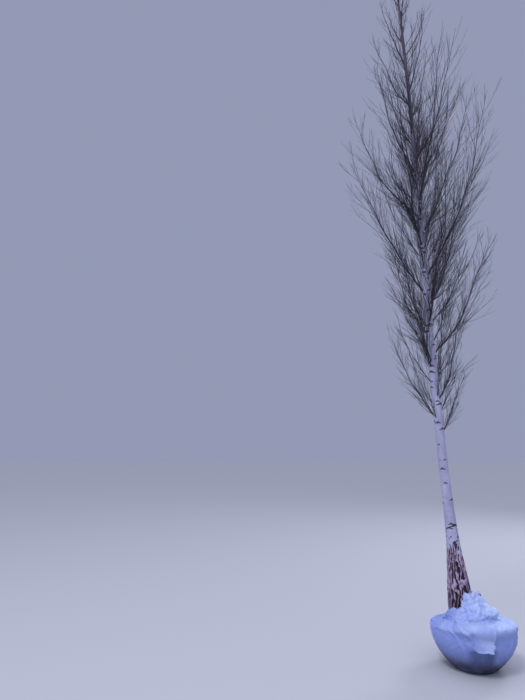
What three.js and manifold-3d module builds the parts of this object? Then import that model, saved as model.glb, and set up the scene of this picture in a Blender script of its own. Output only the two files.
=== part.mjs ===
// A young bare birch with its root ball wrapped in a white woven sack, in millimetres, +Z up.
// It stands on the sack's flat underside at height 0; the origin is on it, 30 mm from its middle.
// The trunk leans a little towards -X. Branches rise steeply all round it, so the crown is a slim
// upright plume. A branch is one line: its lower part is a bough, its upper part is the stem of a
// mass of twigs. High on the trunk the branches are so thin that they are twigs from the start.
import * as THREE from "three";
import { mergeVertices } from "three/addons/utils/BufferGeometryUtils.js";
import Module from "manifold-3d";

const wasm = await Module();
wasm.setup();

// Clearance between two pieces that touch on the real tree
const GAP = 0.3;

// Trunk: heights above the ground, its lean and sweep, its taper and its root flare; all of them are
// counted from where its line starts, and its foot goes on from there down to the soil
const SOIL_TOP = 327;
const LINE_START = 372;
const TRUNK_TOP = 5600;
const TREE_TOP = 6110;
const TREE_LENGTH = TREE_TOP - LINE_START;
const FOOT_X = -80;
const LEAN = 0.058;
const SWEEP_X = 16;
const SWEEP_LENGTH = 2600;
const BOW_Y = 22;
const BOW_LENGTH = 3400;
const SHAFT_RADIUS = 40;
const TAPER_POWER = 0.85;
const FLARE_RADIUS = 45;
const FLARE_HEIGHT = 360;
const FLARE_POWER = 1.8;
const FLARE_LOBES = 5;
const LOBE_DEPTH = 0.16;
const TRUNK_SIDES = 16;
const TRUNK_STEPS = 22;
const CROWDS_TO_FOOT = 1.3;

// Branches: the lower ones have a bough, the upper ones are twigs from the trunk on
const BOUGHS = 20;
const UPPER_BRANCHES = 14;
const LOWEST_BRANCH = 1600;
const HIGHEST_BOUGH = 3900;
const LOWEST_UPPER = 4030;
const HIGHEST_BRANCH = 5480;
const LONGEST_BRANCH = 1420;
const LENGTH_VARIES = [0.88, 1.08];
const LONGEST_AT = 2850;
const LENGTH_RISES_OVER = 1850;
const RISE_POWER = 1.5;
const LENGTH_FALLS_OVER = 2900;
const FALL_POWER = 1.15;
const GOLDEN_ANGLE = 137.508;
const FIRST_BEARING = 20;
const BEARING_SPREAD = 16;
const LEAVES_TRUNK_AT = 44;
const ENDS_AT = 17;
const STEEPER_UPWARDS = 9;
const ANGLE_SPREAD = 5;
const VEERS_BY = 12;
const BEND_SHARE = 0.4;
const BRANCH_FOOT_RADIUS = 3.2;
const BRANCH_EXTRA_RADIUS = 4.6;
const BRANCH_TIP_RADIUS = 0.9;
const BOUGH_SHARE = 0.3;
const BOUGH_SIDES = 5;
const BOUGH_STEPS = 3;

// Twigs: how many stand on a stem, how long they are and how they spread from it
const TWIGS_PER_STEM = 13;
const FIRST_TWIG_AT = 0.06;
const LAST_TWIG_AT = 0.9;
const BENT_TWIGS = 6;
const FORKED_TWIGS = 3;
const FORK_AT = 0.5;
const FORK_SHARE = 0.55;
const TWIG_SIDES = 3;
const STEM_SIDES = 4;
const STEM_STEPS = 4;
const TWIG_LENGTH_SHARE = 0.55;
const TWIG_LENGTH_VARIES = [0.6, 1.15];
const TWIG_SHORTENS = 0.7;
const TWIG_TURN_SPREAD = 25;
const TWIG_SPREADS_AT = 28;
const TWIG_SPREAD_VARIES = [0.7, 1.3];
const TWIG_TURNS_UP = 0.75;
const TWIG_BEND_SHARE = 0.45;
const TWIG_RADIUS_SHARE = 0.36;
const TWIG_FOOT_RADIUS_MIN = 1.1;
const SPACE_MARGIN = 0.88;
const LIMB_CLEARANCE = 7;
const PATH_STEPS = 8;
const SPACE_TESTED_AT = [0.35, 0.7, 1];
const SEED = 4021;
const SEED_STEP = 97;

// Sack and soil: the ball's outline, the cloth's thickness, the gathered mouth round the trunk and
// the loose cloth that is heaped on one side of it
const BALL_RADIUS = 280;
const BALL_WAIST = 246;
const BALL_BELOW = 311;
const BALL_ABOVE = 80;
const POWER_BELOW = 1.6;
const POWER_ABOVE = 4;
const MOUND_HEIGHT = 10;
const MOUND_POWER = 3;
const BALL_UNEVEN = 0.025;
const WIDEST_AT = -23;
const BALL_SHIFT_X = -1;
const BALL_SHIFT_Y = 30;
const SACK_WALL = 5;
const THROAT_RADIUS = 112;
const THROAT_X = FOOT_X - 6;
const SHIFT_POWER = 4;
const COLLAR_OPENS = 6;
const COLLAR_CURLS = 1.3;
const COLLAR_LOW = 10;
const COLLAR_HIGH = 152;
const COLLAR_PEAK_BEARING = -69;
const COLLAR_PEAK_POWER = 4.8;
const HEAP_WIDTH = 140;
const HEAP_LIFT = 70;
const HEAP_BEARING = -38;
const HEAP_ROUND_POWER = 2;
const HEAP_UP_POWER = 7;
const BALL_LEVELS = 10;
const CROWDS_TO_THROAT = 1.35;
const COLLAR_LEVELS = 3;
const SACK_SIDES = 36;
const PLEATS = 9;
const PLEAT_DEPTH = 0.075;
const PLEAT_POWER = 3;
const PLEAT_OPENS = 0.5;
const SOIL_EASE = 4;
const SOIL_TOP_RADIUS = 97;

const WHITE_BARK = { color: 0xb9b3c6, roughness: 0.72, metalness: 0 };
const BOUGH_BARK = { color: 0x4a3640, roughness: 0.66, metalness: 0 };
const TWIG_BARK = { color: 0x33242f, roughness: 0.6, metalness: 0 };
const WOVEN_CLOTH = { color: 0xc3cbe4, roughness: 0.52, metalness: 0 };
const SOIL = { color: 0x3a2a26, roughness: 0.95, metalness: 0 };

const UP = new THREE.Vector3(0, 0, 1);
const radians = THREE.MathUtils.degToRad;

// A small seeded generator, so that every build grows the same tree
class Dice {
  constructor(seed) {
    this.state = seed >>> 0;
    for (let i = 0; i < 3; i++) this.roll();
  }
  roll() {
    this.state = (Math.imul(this.state, 1664525) + 1013904223) >>> 0;
    return this.state / 4294967296;
  }
  between(low, high) {
    return low + (high - low) * this.roll();
  }
}

// A closed three.js geometry as a solid that can be joined and cut
function solidOf(geometry) {
  const bare = geometry.clone();
  bare.deleteAttribute("normal");
  bare.deleteAttribute("uv");
  const merged = mergeVertices(bare, 1e-4);
  const vertProperties = new Float32Array(merged.attributes.position.array);
  const triVerts = new Uint32Array(merged.index.array);
  return new wasm.Manifold(new wasm.Mesh({ numProp: 3, vertProperties, triVerts }));
}

function geometryOf(solid) {
  const mesh = solid.getMesh();
  const geometry = new THREE.BufferGeometry();
  geometry.setAttribute("position", new THREE.BufferAttribute(new Float32Array(mesh.vertProperties), 3));
  geometry.setIndex(new THREE.BufferAttribute(new Uint32Array(mesh.triVerts), 1));
  geometry.computeVertexNormals();
  return geometry;
}

// The largest body of a solid: what a cut leaves loose is dropped
function largestOf(solid) {
  const bodies = solid.decompose();
  return bodies.reduce((best, body) => (body.volume() > best.volume() ? body : best));
}

function named(name, geometry, look) {
  const mesh = new THREE.Mesh(geometry, new THREE.MeshStandardMaterial(look));
  mesh.name = name;
  return mesh;
}

// The middle of the trunk at a height: a straight lean with a slow sweep and a slight bow
function trunkCentre(z) {
  const h = z - LINE_START;
  const x = FOOT_X - LEAN * h - SWEEP_X * Math.sin((Math.PI * h) / SWEEP_LENGTH);
  const y = BOW_Y * Math.sin((Math.PI * h) / BOW_LENGTH);
  return new THREE.Vector3(x, y, z);
}

function shaftRadius(z) {
  return SHAFT_RADIUS * (1 - (z - LINE_START) / TREE_LENGTH) ** TAPER_POWER;
}

// The trunk's radius at a height and bearing, with the root flare and its lobes at the foot
function trunkRadius(z, bearing) {
  const h = Math.max(0, z - LINE_START);
  const flare = FLARE_RADIUS * Math.exp(-((h / FLARE_HEIGHT) ** FLARE_POWER));
  return shaftRadius(z) + flare * (1 + LOBE_DEPTH * Math.cos(FLARE_LOBES * bearing));
}

// An upright cylinder whose rings are moved and widened to the trunk's own; its foot is cut level
function trunkGeometry(extraRadius) {
  const foot = SOIL_TOP + GAP;
  const geometry = new THREE.CylinderGeometry(1, 1, 1, TRUNK_SIDES, TRUNK_STEPS);
  geometry.rotateX(Math.PI / 2);
  const place = geometry.attributes.position;
  for (let i = 0; i < place.count; i++) {
    const share = place.getZ(i) + 0.5;
    const z = foot + (TRUNK_TOP - foot) * share ** CROWDS_TO_FOOT;
    const bearing = Math.atan2(place.getY(i), place.getX(i));
    const fromAxis = Math.hypot(place.getX(i), place.getY(i));
    const radius = fromAxis * (trunkRadius(z, bearing) + extraRadius);
    const centre = trunkCentre(z);
    place.setXYZ(i, centre.x + radius * Math.cos(bearing), centre.y + radius * Math.sin(bearing), z);
  }
  return geometry;
}

// A straight cylinder bent along a curve, with a radius that falls from foot to tip
function limbGeometry(curve, footRadius, tipRadius, sides, steps) {
  const geometry = new THREE.CylinderGeometry(tipRadius > 0 ? 1 : 0, 1, 1, sides, steps);
  const chord = curve.getPoint(1).sub(curve.getPoint(0)).normalize();
  const across = Math.abs(chord.x) < 0.6 ? new THREE.Vector3(1, 0, 0) : new THREE.Vector3(0, 1, 0);
  const place = geometry.attributes.position;
  for (let i = 0; i < place.count; i++) {
    const share = Math.min(1, Math.max(0, place.getY(i) + 0.5));
    const along = curve.getTangent(share);
    const side = across.clone().addScaledVector(along, -across.dot(along)).normalize();
    const front = along.clone().cross(side);
    const bearing = Math.atan2(place.getX(i), place.getZ(i));
    const onRim = Math.hypot(place.getX(i), place.getZ(i)) > 1e-6 ? 1 : 0;
    const radius = onRim * (footRadius + (tipRadius - footRadius) * share);
    const point = curve.getPoint(share);
    point.addScaledVector(side, radius * Math.cos(bearing));
    point.addScaledVector(front, radius * Math.sin(bearing));
    place.setXYZ(i, point.x, point.y, point.z);
  }
  return geometry;
}

// A line that starts one way and ends another: a quarter-bow, as a shoot turns up to the light
function bowed(start, firstWay, lastWay, length, bendShare) {
  const knee = start.clone().addScaledVector(firstWay, length * bendShare);
  const end = knee.clone().addScaledVector(lastWay, length * (1 - bendShare));
  return new THREE.QuadraticBezierCurve3(start, knee, end);
}

// Part of a curve, as a curve of its own
class Stretch extends THREE.Curve {
  constructor(whole, from, to) {
    super();
    this.whole = whole;
    this.from = from;
    this.to = to;
  }
  getPoint(share) {
    return this.whole.getPoint(this.from + (this.to - this.from) * share);
  }
  getTangent(share) {
    return this.whole.getTangent(this.from + (this.to - this.from) * share);
  }
}

function wayAt(bearing, fromUpright) {
  const out = Math.sin(fromUpright);
  return new THREE.Vector3(out * Math.cos(bearing), out * Math.sin(bearing), Math.cos(fromUpright));
}

// How long a branch that leaves the trunk at a height is, beside the longest
function fullness(height) {
  if (height < LONGEST_AT) return 1 - ((LONGEST_AT - height) / LENGTH_RISES_OVER) ** RISE_POWER;
  return 1 - ((height - LONGEST_AT) / LENGTH_FALLS_OVER) ** FALL_POWER;
}

// The line, thickness and own random numbers of one branch
function branchAt(index, height) {
  const dice = new Dice(SEED + SEED_STEP * index);
  const share = (height - LOWEST_BRANCH) / (HIGHEST_BRANCH - LOWEST_BRANCH);
  const turn = FIRST_BEARING + GOLDEN_ANGLE * index + dice.between(-BEARING_SPREAD, BEARING_SPREAD);
  const length = LONGEST_BRANCH * fullness(height) * dice.between(...LENGTH_VARIES);
  const steeper = STEEPER_UPWARDS * share;
  const first = LEAVES_TRUNK_AT - steeper + dice.between(-ANGLE_SPREAD, ANGLE_SPREAD);
  const last = ENDS_AT - steeper + dice.between(-ANGLE_SPREAD, ANGLE_SPREAD);
  const bearing = radians(turn);
  const line = bowed(
    trunkCentre(height),
    wayAt(bearing, radians(first)),
    wayAt(bearing + radians(dice.between(-VEERS_BY, VEERS_BY)), radians(last)),
    length,
    BEND_SHARE,
  );
  const footRadius = BRANCH_FOOT_RADIUS + (BRANCH_EXTRA_RADIUS * length) / LONGEST_BRANCH;
  return { dice, line, length, footRadius };
}

function branchRadius(branch, share) {
  return branch.footRadius + (BRANCH_TIP_RADIUS - branch.footRadius) * share;
}

// Every branch of the tree: the lower ones carry a bough, the last one is the leader
function growBranches() {
  const branches = [];
  for (let i = 0; i < BOUGHS; i++) {
    const height = LOWEST_BRANCH + ((HIGHEST_BOUGH - LOWEST_BRANCH) * i) / (BOUGHS - 1);
    const number = String(i + 1).padStart(2, "0");
    const names = { boughName: "bough_" + number, massName: "twigs_" + number };
    branches.push({ ...branchAt(i, height), ...names, boughShare: BOUGH_SHARE });
  }
  for (let i = 0; i < UPPER_BRANCHES; i++) {
    const height = LOWEST_UPPER + ((HIGHEST_BRANCH - LOWEST_UPPER) * i) / (UPPER_BRANCHES - 1);
    const massName = "upper_twigs_" + String(i + 1).padStart(2, "0");
    branches.push({ ...branchAt(BOUGHS + i, height), massName, boughShare: 0 });
  }
  const foot = trunkCentre(TRUNK_TOP + 2 * GAP);
  const top = trunkCentre(TREE_TOP);
  const length = foot.distanceTo(top);
  const way = top.clone().sub(foot).normalize();
  branches.push({
    dice: new Dice(SEED - 1),
    line: bowed(foot, way, way, length, 0.5),
    length,
    footRadius: shaftRadius(TRUNK_TOP),
    massName: "leader_twigs",
    isLeader: true,
    boughShare: 0,
  });
  return branches;
}

// The share of a branch's line at which its mass of twigs starts
function stemStart(branch) {
  return branch.boughShare ? branch.boughShare + GAP / branch.length : 0;
}

function pathAlong(line, from, to) {
  const shares = Array.from({ length: PATH_STEPS + 1 }, (_, i) => from + ((to - from) * i) / PATH_STEPS);
  return shares.map((share) => line.getPoint(share));
}

function distanceToPath(point, path) {
  const piece = new THREE.Line3();
  const near = new THREE.Vector3();
  let least = Infinity;
  for (let i = 1; i < path.length; i++) {
    piece.set(path[i - 1], path[i]).closestPointToPoint(point, true, near);
    least = Math.min(least, near.distanceTo(point));
  }
  return least;
}

function clearOfTrunk(point) {
  const centre = trunkCentre(point.z);
  const away = Math.hypot(point.x - centre.x, point.y - centre.y);
  return point.z > TRUNK_TOP || away > shaftRadius(point.z) + LIMB_CLEARANCE;
}

function clearOfBough(point, branch) {
  if (!branch.boughPath) return true;
  return distanceToPath(point, branch.boughPath) > branch.footRadius + LIMB_CLEARANCE;
}

// A twig keeps to the space that lies nearer its own stem than any other, and clear of the limbs
function keepsToItsSpace(twig, own, branches) {
  return SPACE_TESTED_AT.every((share) => {
    const point = twig.getPoint(share);
    const fromOwn = distanceToPath(point, own.path);
    const nearestToOwn = branches.every(
      (other) => other === own || fromOwn < SPACE_MARGIN * distanceToPath(point, other.path),
    );
    return nearestToOwn && clearOfTrunk(point) && branches.every((branch) => clearOfBough(point, branch));
  });
}

// A side shoot from a line: it leaves at an angle, on a bearing round the line, and turns up
function shootFrom(line, share, round, spread, length) {
  const along = line.getTangent(share);
  const side = new THREE.Vector3().crossVectors(along, UP).normalize();
  const outward = side.applyAxisAngle(along, round);
  const first = along.clone().multiplyScalar(Math.cos(spread)).addScaledVector(outward, Math.sin(spread));
  const last = first.clone().addScaledVector(UP, TWIG_TURNS_UP).normalize();
  return bowed(line.getPoint(share), first, last, length, TWIG_BEND_SHARE);
}

// The twigs of one branch: single shoots by the golden angle, and side shoots on the longest
function twigsOf(branch, branches) {
  const twigs = [];
  const dice = branch.dice;
  const from = stemStart(branch);
  for (let i = 0; i < TWIGS_PER_STEM; i++) {
    const onStem = FIRST_TWIG_AT + ((LAST_TWIG_AT - FIRST_TWIG_AT) * i) / (TWIGS_PER_STEM - 1);
    const share = from + (1 - from) * onStem;
    const fullLength = branch.length * TWIG_LENGTH_SHARE * (1 - TWIG_SHORTENS * share);
    const length = fullLength * dice.between(...TWIG_LENGTH_VARIES);
    const round = radians(GOLDEN_ANGLE * i + dice.between(-TWIG_TURN_SPREAD, TWIG_TURN_SPREAD));
    const spread = radians(TWIG_SPREADS_AT * dice.between(...TWIG_SPREAD_VARIES));
    const line = shootFrom(branch.line, share, round, spread, length);
    const footRadius = Math.max(TWIG_FOOT_RADIUS_MIN, TWIG_RADIUS_SHARE * branchRadius(branch, share));
    const forkRound = radians(dice.between(0, 360));
    if (!keepsToItsSpace(line, branch, branches)) continue;
    twigs.push({ line, footRadius, steps: i < BENT_TWIGS ? 2 : 1 });
    if (i >= FORKED_TWIGS) continue;
    const fork = shootFrom(line, FORK_AT, forkRound, spread, length * FORK_SHARE);
    if (!keepsToItsSpace(fork, branch, branches)) continue;
    twigs.push({ line: fork, footRadius: TWIG_FOOT_RADIUS_MIN, steps: 1 });
  }
  return twigs;
}

// One mass: its stem with every twig fused on, cut clear of the trunk where it starts there
function massGeometry(branch, branches, fatTrunk) {
  const from = stemStart(branch);
  const stemLine = new Stretch(branch.line, from, 1);
  const stem = limbGeometry(stemLine, branchRadius(branch, from), BRANCH_TIP_RADIUS, STEM_SIDES, STEM_STEPS);
  let mass = solidOf(stem);
  for (const twig of twigsOf(branch, branches)) {
    mass = mass.add(solidOf(limbGeometry(twig.line, twig.footRadius, 0, TWIG_SIDES, twig.steps)));
  }
  if (!branch.boughShare && !branch.isLeader) mass = mass.subtract(fatTrunk);
  return geometryOf(largestOf(mass));
}

function boughGeometry(branch, fatTrunk) {
  const line = new Stretch(branch.line, 0, branch.boughShare);
  const tipRadius = branchRadius(branch, branch.boughShare);
  const whole = solidOf(limbGeometry(line, branch.footRadius, tipRadius, BOUGH_SIDES, BOUGH_STEPS));
  return geometryOf(largestOf(whole.subtract(fatTrunk)));
}

// The wrapped ball's outline from its flat underside to the throat, moved in by inset, as radius and
// height: a squared ellipse, deep below the waist and flat above it, with a mound up to the throat
function ballOutline(inset) {
  const widest = BALL_RADIUS - inset;
  const below = BALL_BELOW - inset;
  const above = BALL_ABOVE - inset;
  const foot = -Math.asin(((BALL_WAIST - inset) / below) ** (POWER_BELOW / 2));
  const throat = Math.acos(((THROAT_RADIUS - inset) / widest) ** (POWER_ABOVE / 2));
  return Array.from({ length: BALL_LEVELS + 1 }, (_, i) => {
    const angle = throat + (foot - throat) * (1 - i / BALL_LEVELS) ** CROWDS_TO_THROAT;
    const [power, height] = angle < 0 ? [POWER_BELOW, -below] : [POWER_ABOVE, above];
    const radius = widest * Math.cos(angle) ** (2 / power);
    const inwards = angle < 0 ? 0 : (widest - radius) / (BALL_RADIUS - THROAT_RADIUS);
    const fromWaist = height * Math.abs(Math.sin(angle)) ** (2 / power);
    return new THREE.Vector2(radius, BALL_WAIST + fromWaist + MOUND_HEIGHT * inwards ** MOUND_POWER);
  });
}

// A bearing's share of what is largest on one side and nothing on the other
function towards(bearing, peakBearing, power) {
  return (0.5 + 0.5 * Math.cos(bearing - radians(peakBearing))) ** power;
}

// Moves a round ball to its real shape: uneven, its throat over the trunk's foot, and in pleats that
// deepen towards the mouth. The cloth's own mouth is also heaped up on one side of the trunk, so the
// sack takes a heap of 1 and the soil a heap of 0.
function shapeCloth(geometry, heap) {
  const place = geometry.attributes.position;
  const throatHeight = ballOutline(0)[BALL_LEVELS].y;
  for (let i = 0; i < place.count; i++) {
    const z = place.getZ(i);
    const bearing = Math.atan2(place.getY(i), place.getX(i));
    const share = Math.min(1, Math.max(0, (z - BALL_WAIST) / (throatHeight - BALL_WAIST)));
    const upCollar = Math.max(0, (z - throatHeight) / COLLAR_LOW);
    const nearPeak = towards(bearing, COLLAR_PEAK_BEARING, COLLAR_PEAK_POWER);
    const heaped = heap * share ** HEAP_UP_POWER * towards(bearing, HEAP_BEARING, HEAP_ROUND_POWER);
    const bulge = 1 + BALL_UNEVEN * (1 - share) * Math.cos(2 * (bearing - radians(WIDEST_AT)));
    const pleatDepth = PLEAT_DEPTH * (share ** PLEAT_POWER + PLEAT_OPENS * upCollar);
    const pleat = 1 + pleatDepth * Math.cos(PLEATS * bearing);
    const outward = HEAP_WIDTH * heaped * (1 - upCollar);
    const radius = Math.hypot(place.getX(i), place.getY(i)) * bulge * pleat + outward;
    const toThroat = share ** SHIFT_POWER;
    const x = BALL_SHIFT_X + (THROAT_X - BALL_SHIFT_X) * toThroat + radius * Math.cos(bearing);
    const y = BALL_SHIFT_Y * (1 - toThroat) + radius * Math.sin(bearing);
    const rise = HEAP_LIFT * heaped + (COLLAR_HIGH - COLLAR_LOW) * upCollar * nearPeak;
    place.setXYZ(i, x, y, z + rise);
  }
  return geometry;
}

// A profile of radius and height turned round the upright axis
function turned(profile) {
  return new THREE.LatheGeometry(profile, SACK_SIDES).rotateX(Math.PI / 2);
}

// The sack: one wall of cloth from under the ball up to the rim of its loose mouth
function sackGeometry() {
  const outside = ballOutline(0);
  const inside = ballOutline(SACK_WALL);
  const throatHeight = outside[BALL_LEVELS].y;
  for (let i = 1; i <= COLLAR_LEVELS; i++) {
    const share = i / COLLAR_LEVELS;
    const radius = THROAT_RADIUS + COLLAR_OPENS * share ** COLLAR_CURLS;
    const height = throatHeight + COLLAR_LOW * share;
    outside.push(new THREE.Vector2(radius, height));
    inside.push(new THREE.Vector2(radius - SACK_WALL, height));
  }
  const middle = new THREE.Vector2(0, 0);
  const floor = new THREE.Vector2(0, SACK_WALL);
  return shapeCloth(turned([middle, ...outside, ...inside.reverse(), floor]), 1);
}

// The soil that fills the sack: it rests on the sack's floor and is level at the foot of the trunk
function soilGeometry() {
  const side = ballOutline(SACK_WALL + SOIL_EASE).filter((point) => point.y < SOIL_TOP);
  side[0].y = SACK_WALL + GAP;
  const edge = new THREE.Vector2(SOIL_TOP_RADIUS, SOIL_TOP);
  const floor = new THREE.Vector2(0, SACK_WALL + GAP);
  return shapeCloth(turned([floor, ...side, edge, new THREE.Vector2(0, SOIL_TOP)]), 0);
}

const branches = growBranches();
for (const branch of branches) {
  branch.path = pathAlong(branch.line, stemStart(branch), 1);
  if (branch.boughShare) branch.boughPath = pathAlong(branch.line, 0, branch.boughShare);
}

const group = new THREE.Group();
const fatTrunk = solidOf(trunkGeometry(GAP));
group.add(named("soil_ball", soilGeometry(), SOIL));
group.add(named("sack", sackGeometry(), WOVEN_CLOTH));
group.add(named("trunk", trunkGeometry(0), WHITE_BARK));
for (const branch of branches) {
  if (branch.boughShare) group.add(named(branch.boughName, boughGeometry(branch, fatTrunk), BOUGH_BARK));
  group.add(named(branch.massName, massGeometry(branch, branches, fatTrunk), TWIG_BARK));
}

export default group;
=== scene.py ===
# %% [markdown]
# # A bare birch with its root ball in a sack
# The tree is built round a fixed frame: plain solids at their real size, which say where the trunk,
# the boughs, the masses of twigs, the sack and the soil are. Each step below makes one kind of piece as
# a finer mesh in the same place, and hides the plain solid that it stands for. All lengths are metres.

# %% Load the frame
import math

import bpy
import numpy as np
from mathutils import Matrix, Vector, noise


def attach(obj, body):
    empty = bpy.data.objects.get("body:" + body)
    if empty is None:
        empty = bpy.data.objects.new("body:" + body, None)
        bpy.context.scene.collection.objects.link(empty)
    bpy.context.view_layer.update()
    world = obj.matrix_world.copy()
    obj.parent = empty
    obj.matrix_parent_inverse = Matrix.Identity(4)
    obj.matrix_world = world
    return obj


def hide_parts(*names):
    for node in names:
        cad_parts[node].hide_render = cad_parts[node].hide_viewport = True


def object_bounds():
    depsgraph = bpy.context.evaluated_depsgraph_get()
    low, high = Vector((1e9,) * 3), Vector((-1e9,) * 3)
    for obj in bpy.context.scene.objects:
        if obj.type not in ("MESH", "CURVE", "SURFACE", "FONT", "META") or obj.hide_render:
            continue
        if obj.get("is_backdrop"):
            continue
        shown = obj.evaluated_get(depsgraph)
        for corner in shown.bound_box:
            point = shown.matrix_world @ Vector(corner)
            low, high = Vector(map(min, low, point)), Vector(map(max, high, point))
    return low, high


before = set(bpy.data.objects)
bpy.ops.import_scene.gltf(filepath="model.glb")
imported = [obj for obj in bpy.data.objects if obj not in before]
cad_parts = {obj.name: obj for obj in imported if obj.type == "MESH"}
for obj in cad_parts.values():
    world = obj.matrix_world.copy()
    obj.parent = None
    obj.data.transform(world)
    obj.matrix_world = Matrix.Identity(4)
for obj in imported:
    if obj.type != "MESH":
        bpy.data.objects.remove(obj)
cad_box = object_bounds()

print("the frame holds", len(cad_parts), "plain solids")
print("it is", [round(high - low, 3) for low, high in zip(*cad_box)], "metres a side")

# %% [markdown]
# ## The camera
# The picture was taken from eye height with a phone that was tilted a little upwards. The camera could
# be placed by eye, but then its place would be a guess. Here it stands at a real eye height, at the
# distance that gives the root ball its real width, with the focal length of a phone. The sensor is
# measured along the picture's long side.

# %% The camera
PHOTO_HEIGHT = 700
FOCAL_PIXELS = 549
SENSOR = 36.0
CAMERA_PLACE = (-1.491, -4.12, 1.6)
TILTED_UP = math.radians(8.9)

camera = bpy.data.objects.new("camera", bpy.data.cameras.new("camera"))
camera.data.sensor_fit = "AUTO"
camera.data.sensor_width = SENSOR
camera.data.lens = SENSOR * FOCAL_PIXELS / PHOTO_HEIGHT
camera.location = CAMERA_PLACE
camera.rotation_euler = (math.radians(90) + TILTED_UP, 0, 0)
bpy.context.scene.collection.objects.link(camera)
bpy.context.scene.camera = camera
print("the lens is", round(camera.data.lens, 2), "mm")

# %% [markdown]
# ## Light and floor
# A tree outdoors gets soft light from all round and hardly any shadow. A single lamp would draw a hard
# shadow and leave the far side black. So a pale world fills in everywhere, a very wide sun from above
# lights the floor evenly, and two large soft lamps give the trunk and the sack a bright and a shaded
# side. The floor is a plain sheet that isn't part of the tree.

# %% Light and floor
FLOOR_SIZE = 60.0
WORLD_COLOUR = (0.64, 0.70, 1.0)
WORLD_STRENGTH = 0.46
KEY_COLOUR = (0.88, 0.90, 1.0)
COOL_COLOUR = (0.86, 0.91, 1.0)
SUN_ENERGY = 1.1
SUN_WIDTH = math.radians(100)
SUN_TURN = (math.radians(20), math.radians(-12), 0)

world = bpy.data.worlds.new("soft_daylight")
world.use_nodes = True
background = world.node_tree.nodes["Background"]
background.inputs["Color"].default_value = (*WORLD_COLOUR, 1)
background.inputs["Strength"].default_value = WORLD_STRENGTH
bpy.context.scene.world = world
bpy.context.scene.view_settings.view_transform = "Standard"


def soft_lamp(name, place, aim, size, watts, colour):
    lamp = bpy.data.objects.new(name, bpy.data.lights.new(name, "AREA"))
    lamp.data.shape = "DISK"
    lamp.data.size = size
    lamp.data.energy = watts
    lamp.data.color = colour
    lamp.location = place
    lamp.rotation_euler = (Vector(aim) - Vector(place)).to_track_quat("-Z", "Y").to_euler()
    bpy.context.scene.collection.objects.link(lamp)


soft_lamp("key", place=(-4, -5, 9), aim=(-0.1, 0, 1.6), size=3, watts=400, colour=KEY_COLOUR)
soft_lamp("rim", place=(5, 4.5, 5), aim=(-0.1, 0, 2.0), size=3, watts=200, colour=COOL_COLOUR)

overhead = bpy.data.objects.new("overhead", bpy.data.lights.new("overhead", "SUN"))
overhead.data.energy = SUN_ENERGY
overhead.data.angle = SUN_WIDTH
overhead.data.color = COOL_COLOUR
overhead.rotation_euler = SUN_TURN
bpy.context.scene.collection.objects.link(overhead)

half = FLOOR_SIZE / 2
floor_corners = [(-half, -half, 0), (half, -half, 0), (half, half, 0), (-half, half, 0)]
floor_mesh = bpy.data.meshes.new("floor")
floor_mesh.from_pydata(floor_corners, [], [(0, 1, 2, 3)])
floor = bpy.data.objects.new("floor", floor_mesh)
bpy.context.scene.collection.objects.link(floor)
floor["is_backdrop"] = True
print("three lamps, and a floor", FLOOR_SIZE, "m wide")

# %% [markdown]
# ## A short way to write materials
# Every finish here is a graph of nodes on one Principled shader. Wiring them by hand takes four lines a
# node, which hides the idea. This small class makes a node, fills its sockets by name and links what is
# already a socket, so that a finish reads as a list of its layers.

# %% A short way to write materials
class Finish:
    def __init__(self, name, colour, roughness, specular=0.5):
        self.material = bpy.data.materials.new(name)
        self.material.use_nodes = True
        self.tree = self.material.node_tree
        self.shader = self.tree.nodes["Principled BSDF"]
        self.shader.inputs["Base Color"].default_value = (*colour, 1)
        self.shader.inputs["Roughness"].default_value = roughness
        self.shader.inputs["Specular IOR Level"].default_value = specular

    def set(self, node, socket, value):
        """Links a socket to another node's output, or fills in a plain value."""
        if isinstance(value, bpy.types.NodeSocket):
            self.tree.links.new(value, node.inputs[socket])
        else:
            node.inputs[socket].default_value = value

    def node(self, kind, sockets=None, **settings):
        made = self.tree.nodes.new("ShaderNode" + kind)
        for key, value in settings.items():
            setattr(made, key, value)
        for socket, value in (sockets or {}).items():
            self.set(made, socket, value)
        return made

    def attribute(self, name, output="Fac"):
        return self.node("Attribute", attribute_name=name).outputs[output]

    def math(self, operation, first, second=0.0, third=0.0):
        return self.node("Math", {0: first, 1: second, 2: third}, operation=operation).outputs[0]

    def between(self, value, low, high, to_low=0.0, to_high=1.0):
        """A soft step: to_low where the value is under low, to_high where it is over high."""
        sockets = {"Value": value, "From Min": low, "From Max": high, "To Min": to_low, "To Max": to_high}
        return self.node("MapRange", sockets, interpolation_type="SMOOTHSTEP").outputs[0]

    def stretched(self, place, scale):
        """The place as a pattern sees it: a larger scale along an axis squeezes the pattern there."""
        return self.node("Mapping", {"Vector": place, "Scale": scale}).outputs[0]

    def noise(self, place, scale, detail=4.0, rough=0.55):
        sockets = {"Vector": place, "Scale": scale, "Detail": detail, "Roughness": rough}
        return self.node("TexNoise", sockets).outputs[0]

    def cells(self, place, scale):
        """How far each point is from the nearest of many scattered ones."""
        return self.node("TexVoronoi", {"Vector": place, "Scale": scale}).outputs["Distance"]

    def mix(self, share, first, second):
        """The first colour where the share is 0, and the second where it is 1."""
        made = self.node("Mix", data_type="RGBA")
        self.set(made, 0, share)
        for socket, value in ((6, first), (7, second)):
            self.set(made, socket, value if isinstance(value, bpy.types.NodeSocket) else (*value, 1))
        return made.outputs[2]

    def bump(self, height, depth, below=None):
        """Relief that only the light sees, laid over the relief below it."""
        sockets = {"Height": height, "Distance": depth, "Strength": 1.0}
        if below:
            sockets["Normal"] = below
        return self.node("Bump", sockets).outputs[0]

    def finish(self, colour=None, roughness=None, normal=None):
        for socket, value in (("Base Color", colour), ("Roughness", roughness), ("Normal", normal)):
            if value is not None:
                self.set(self.shader, socket, value)
        return self.material


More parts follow.
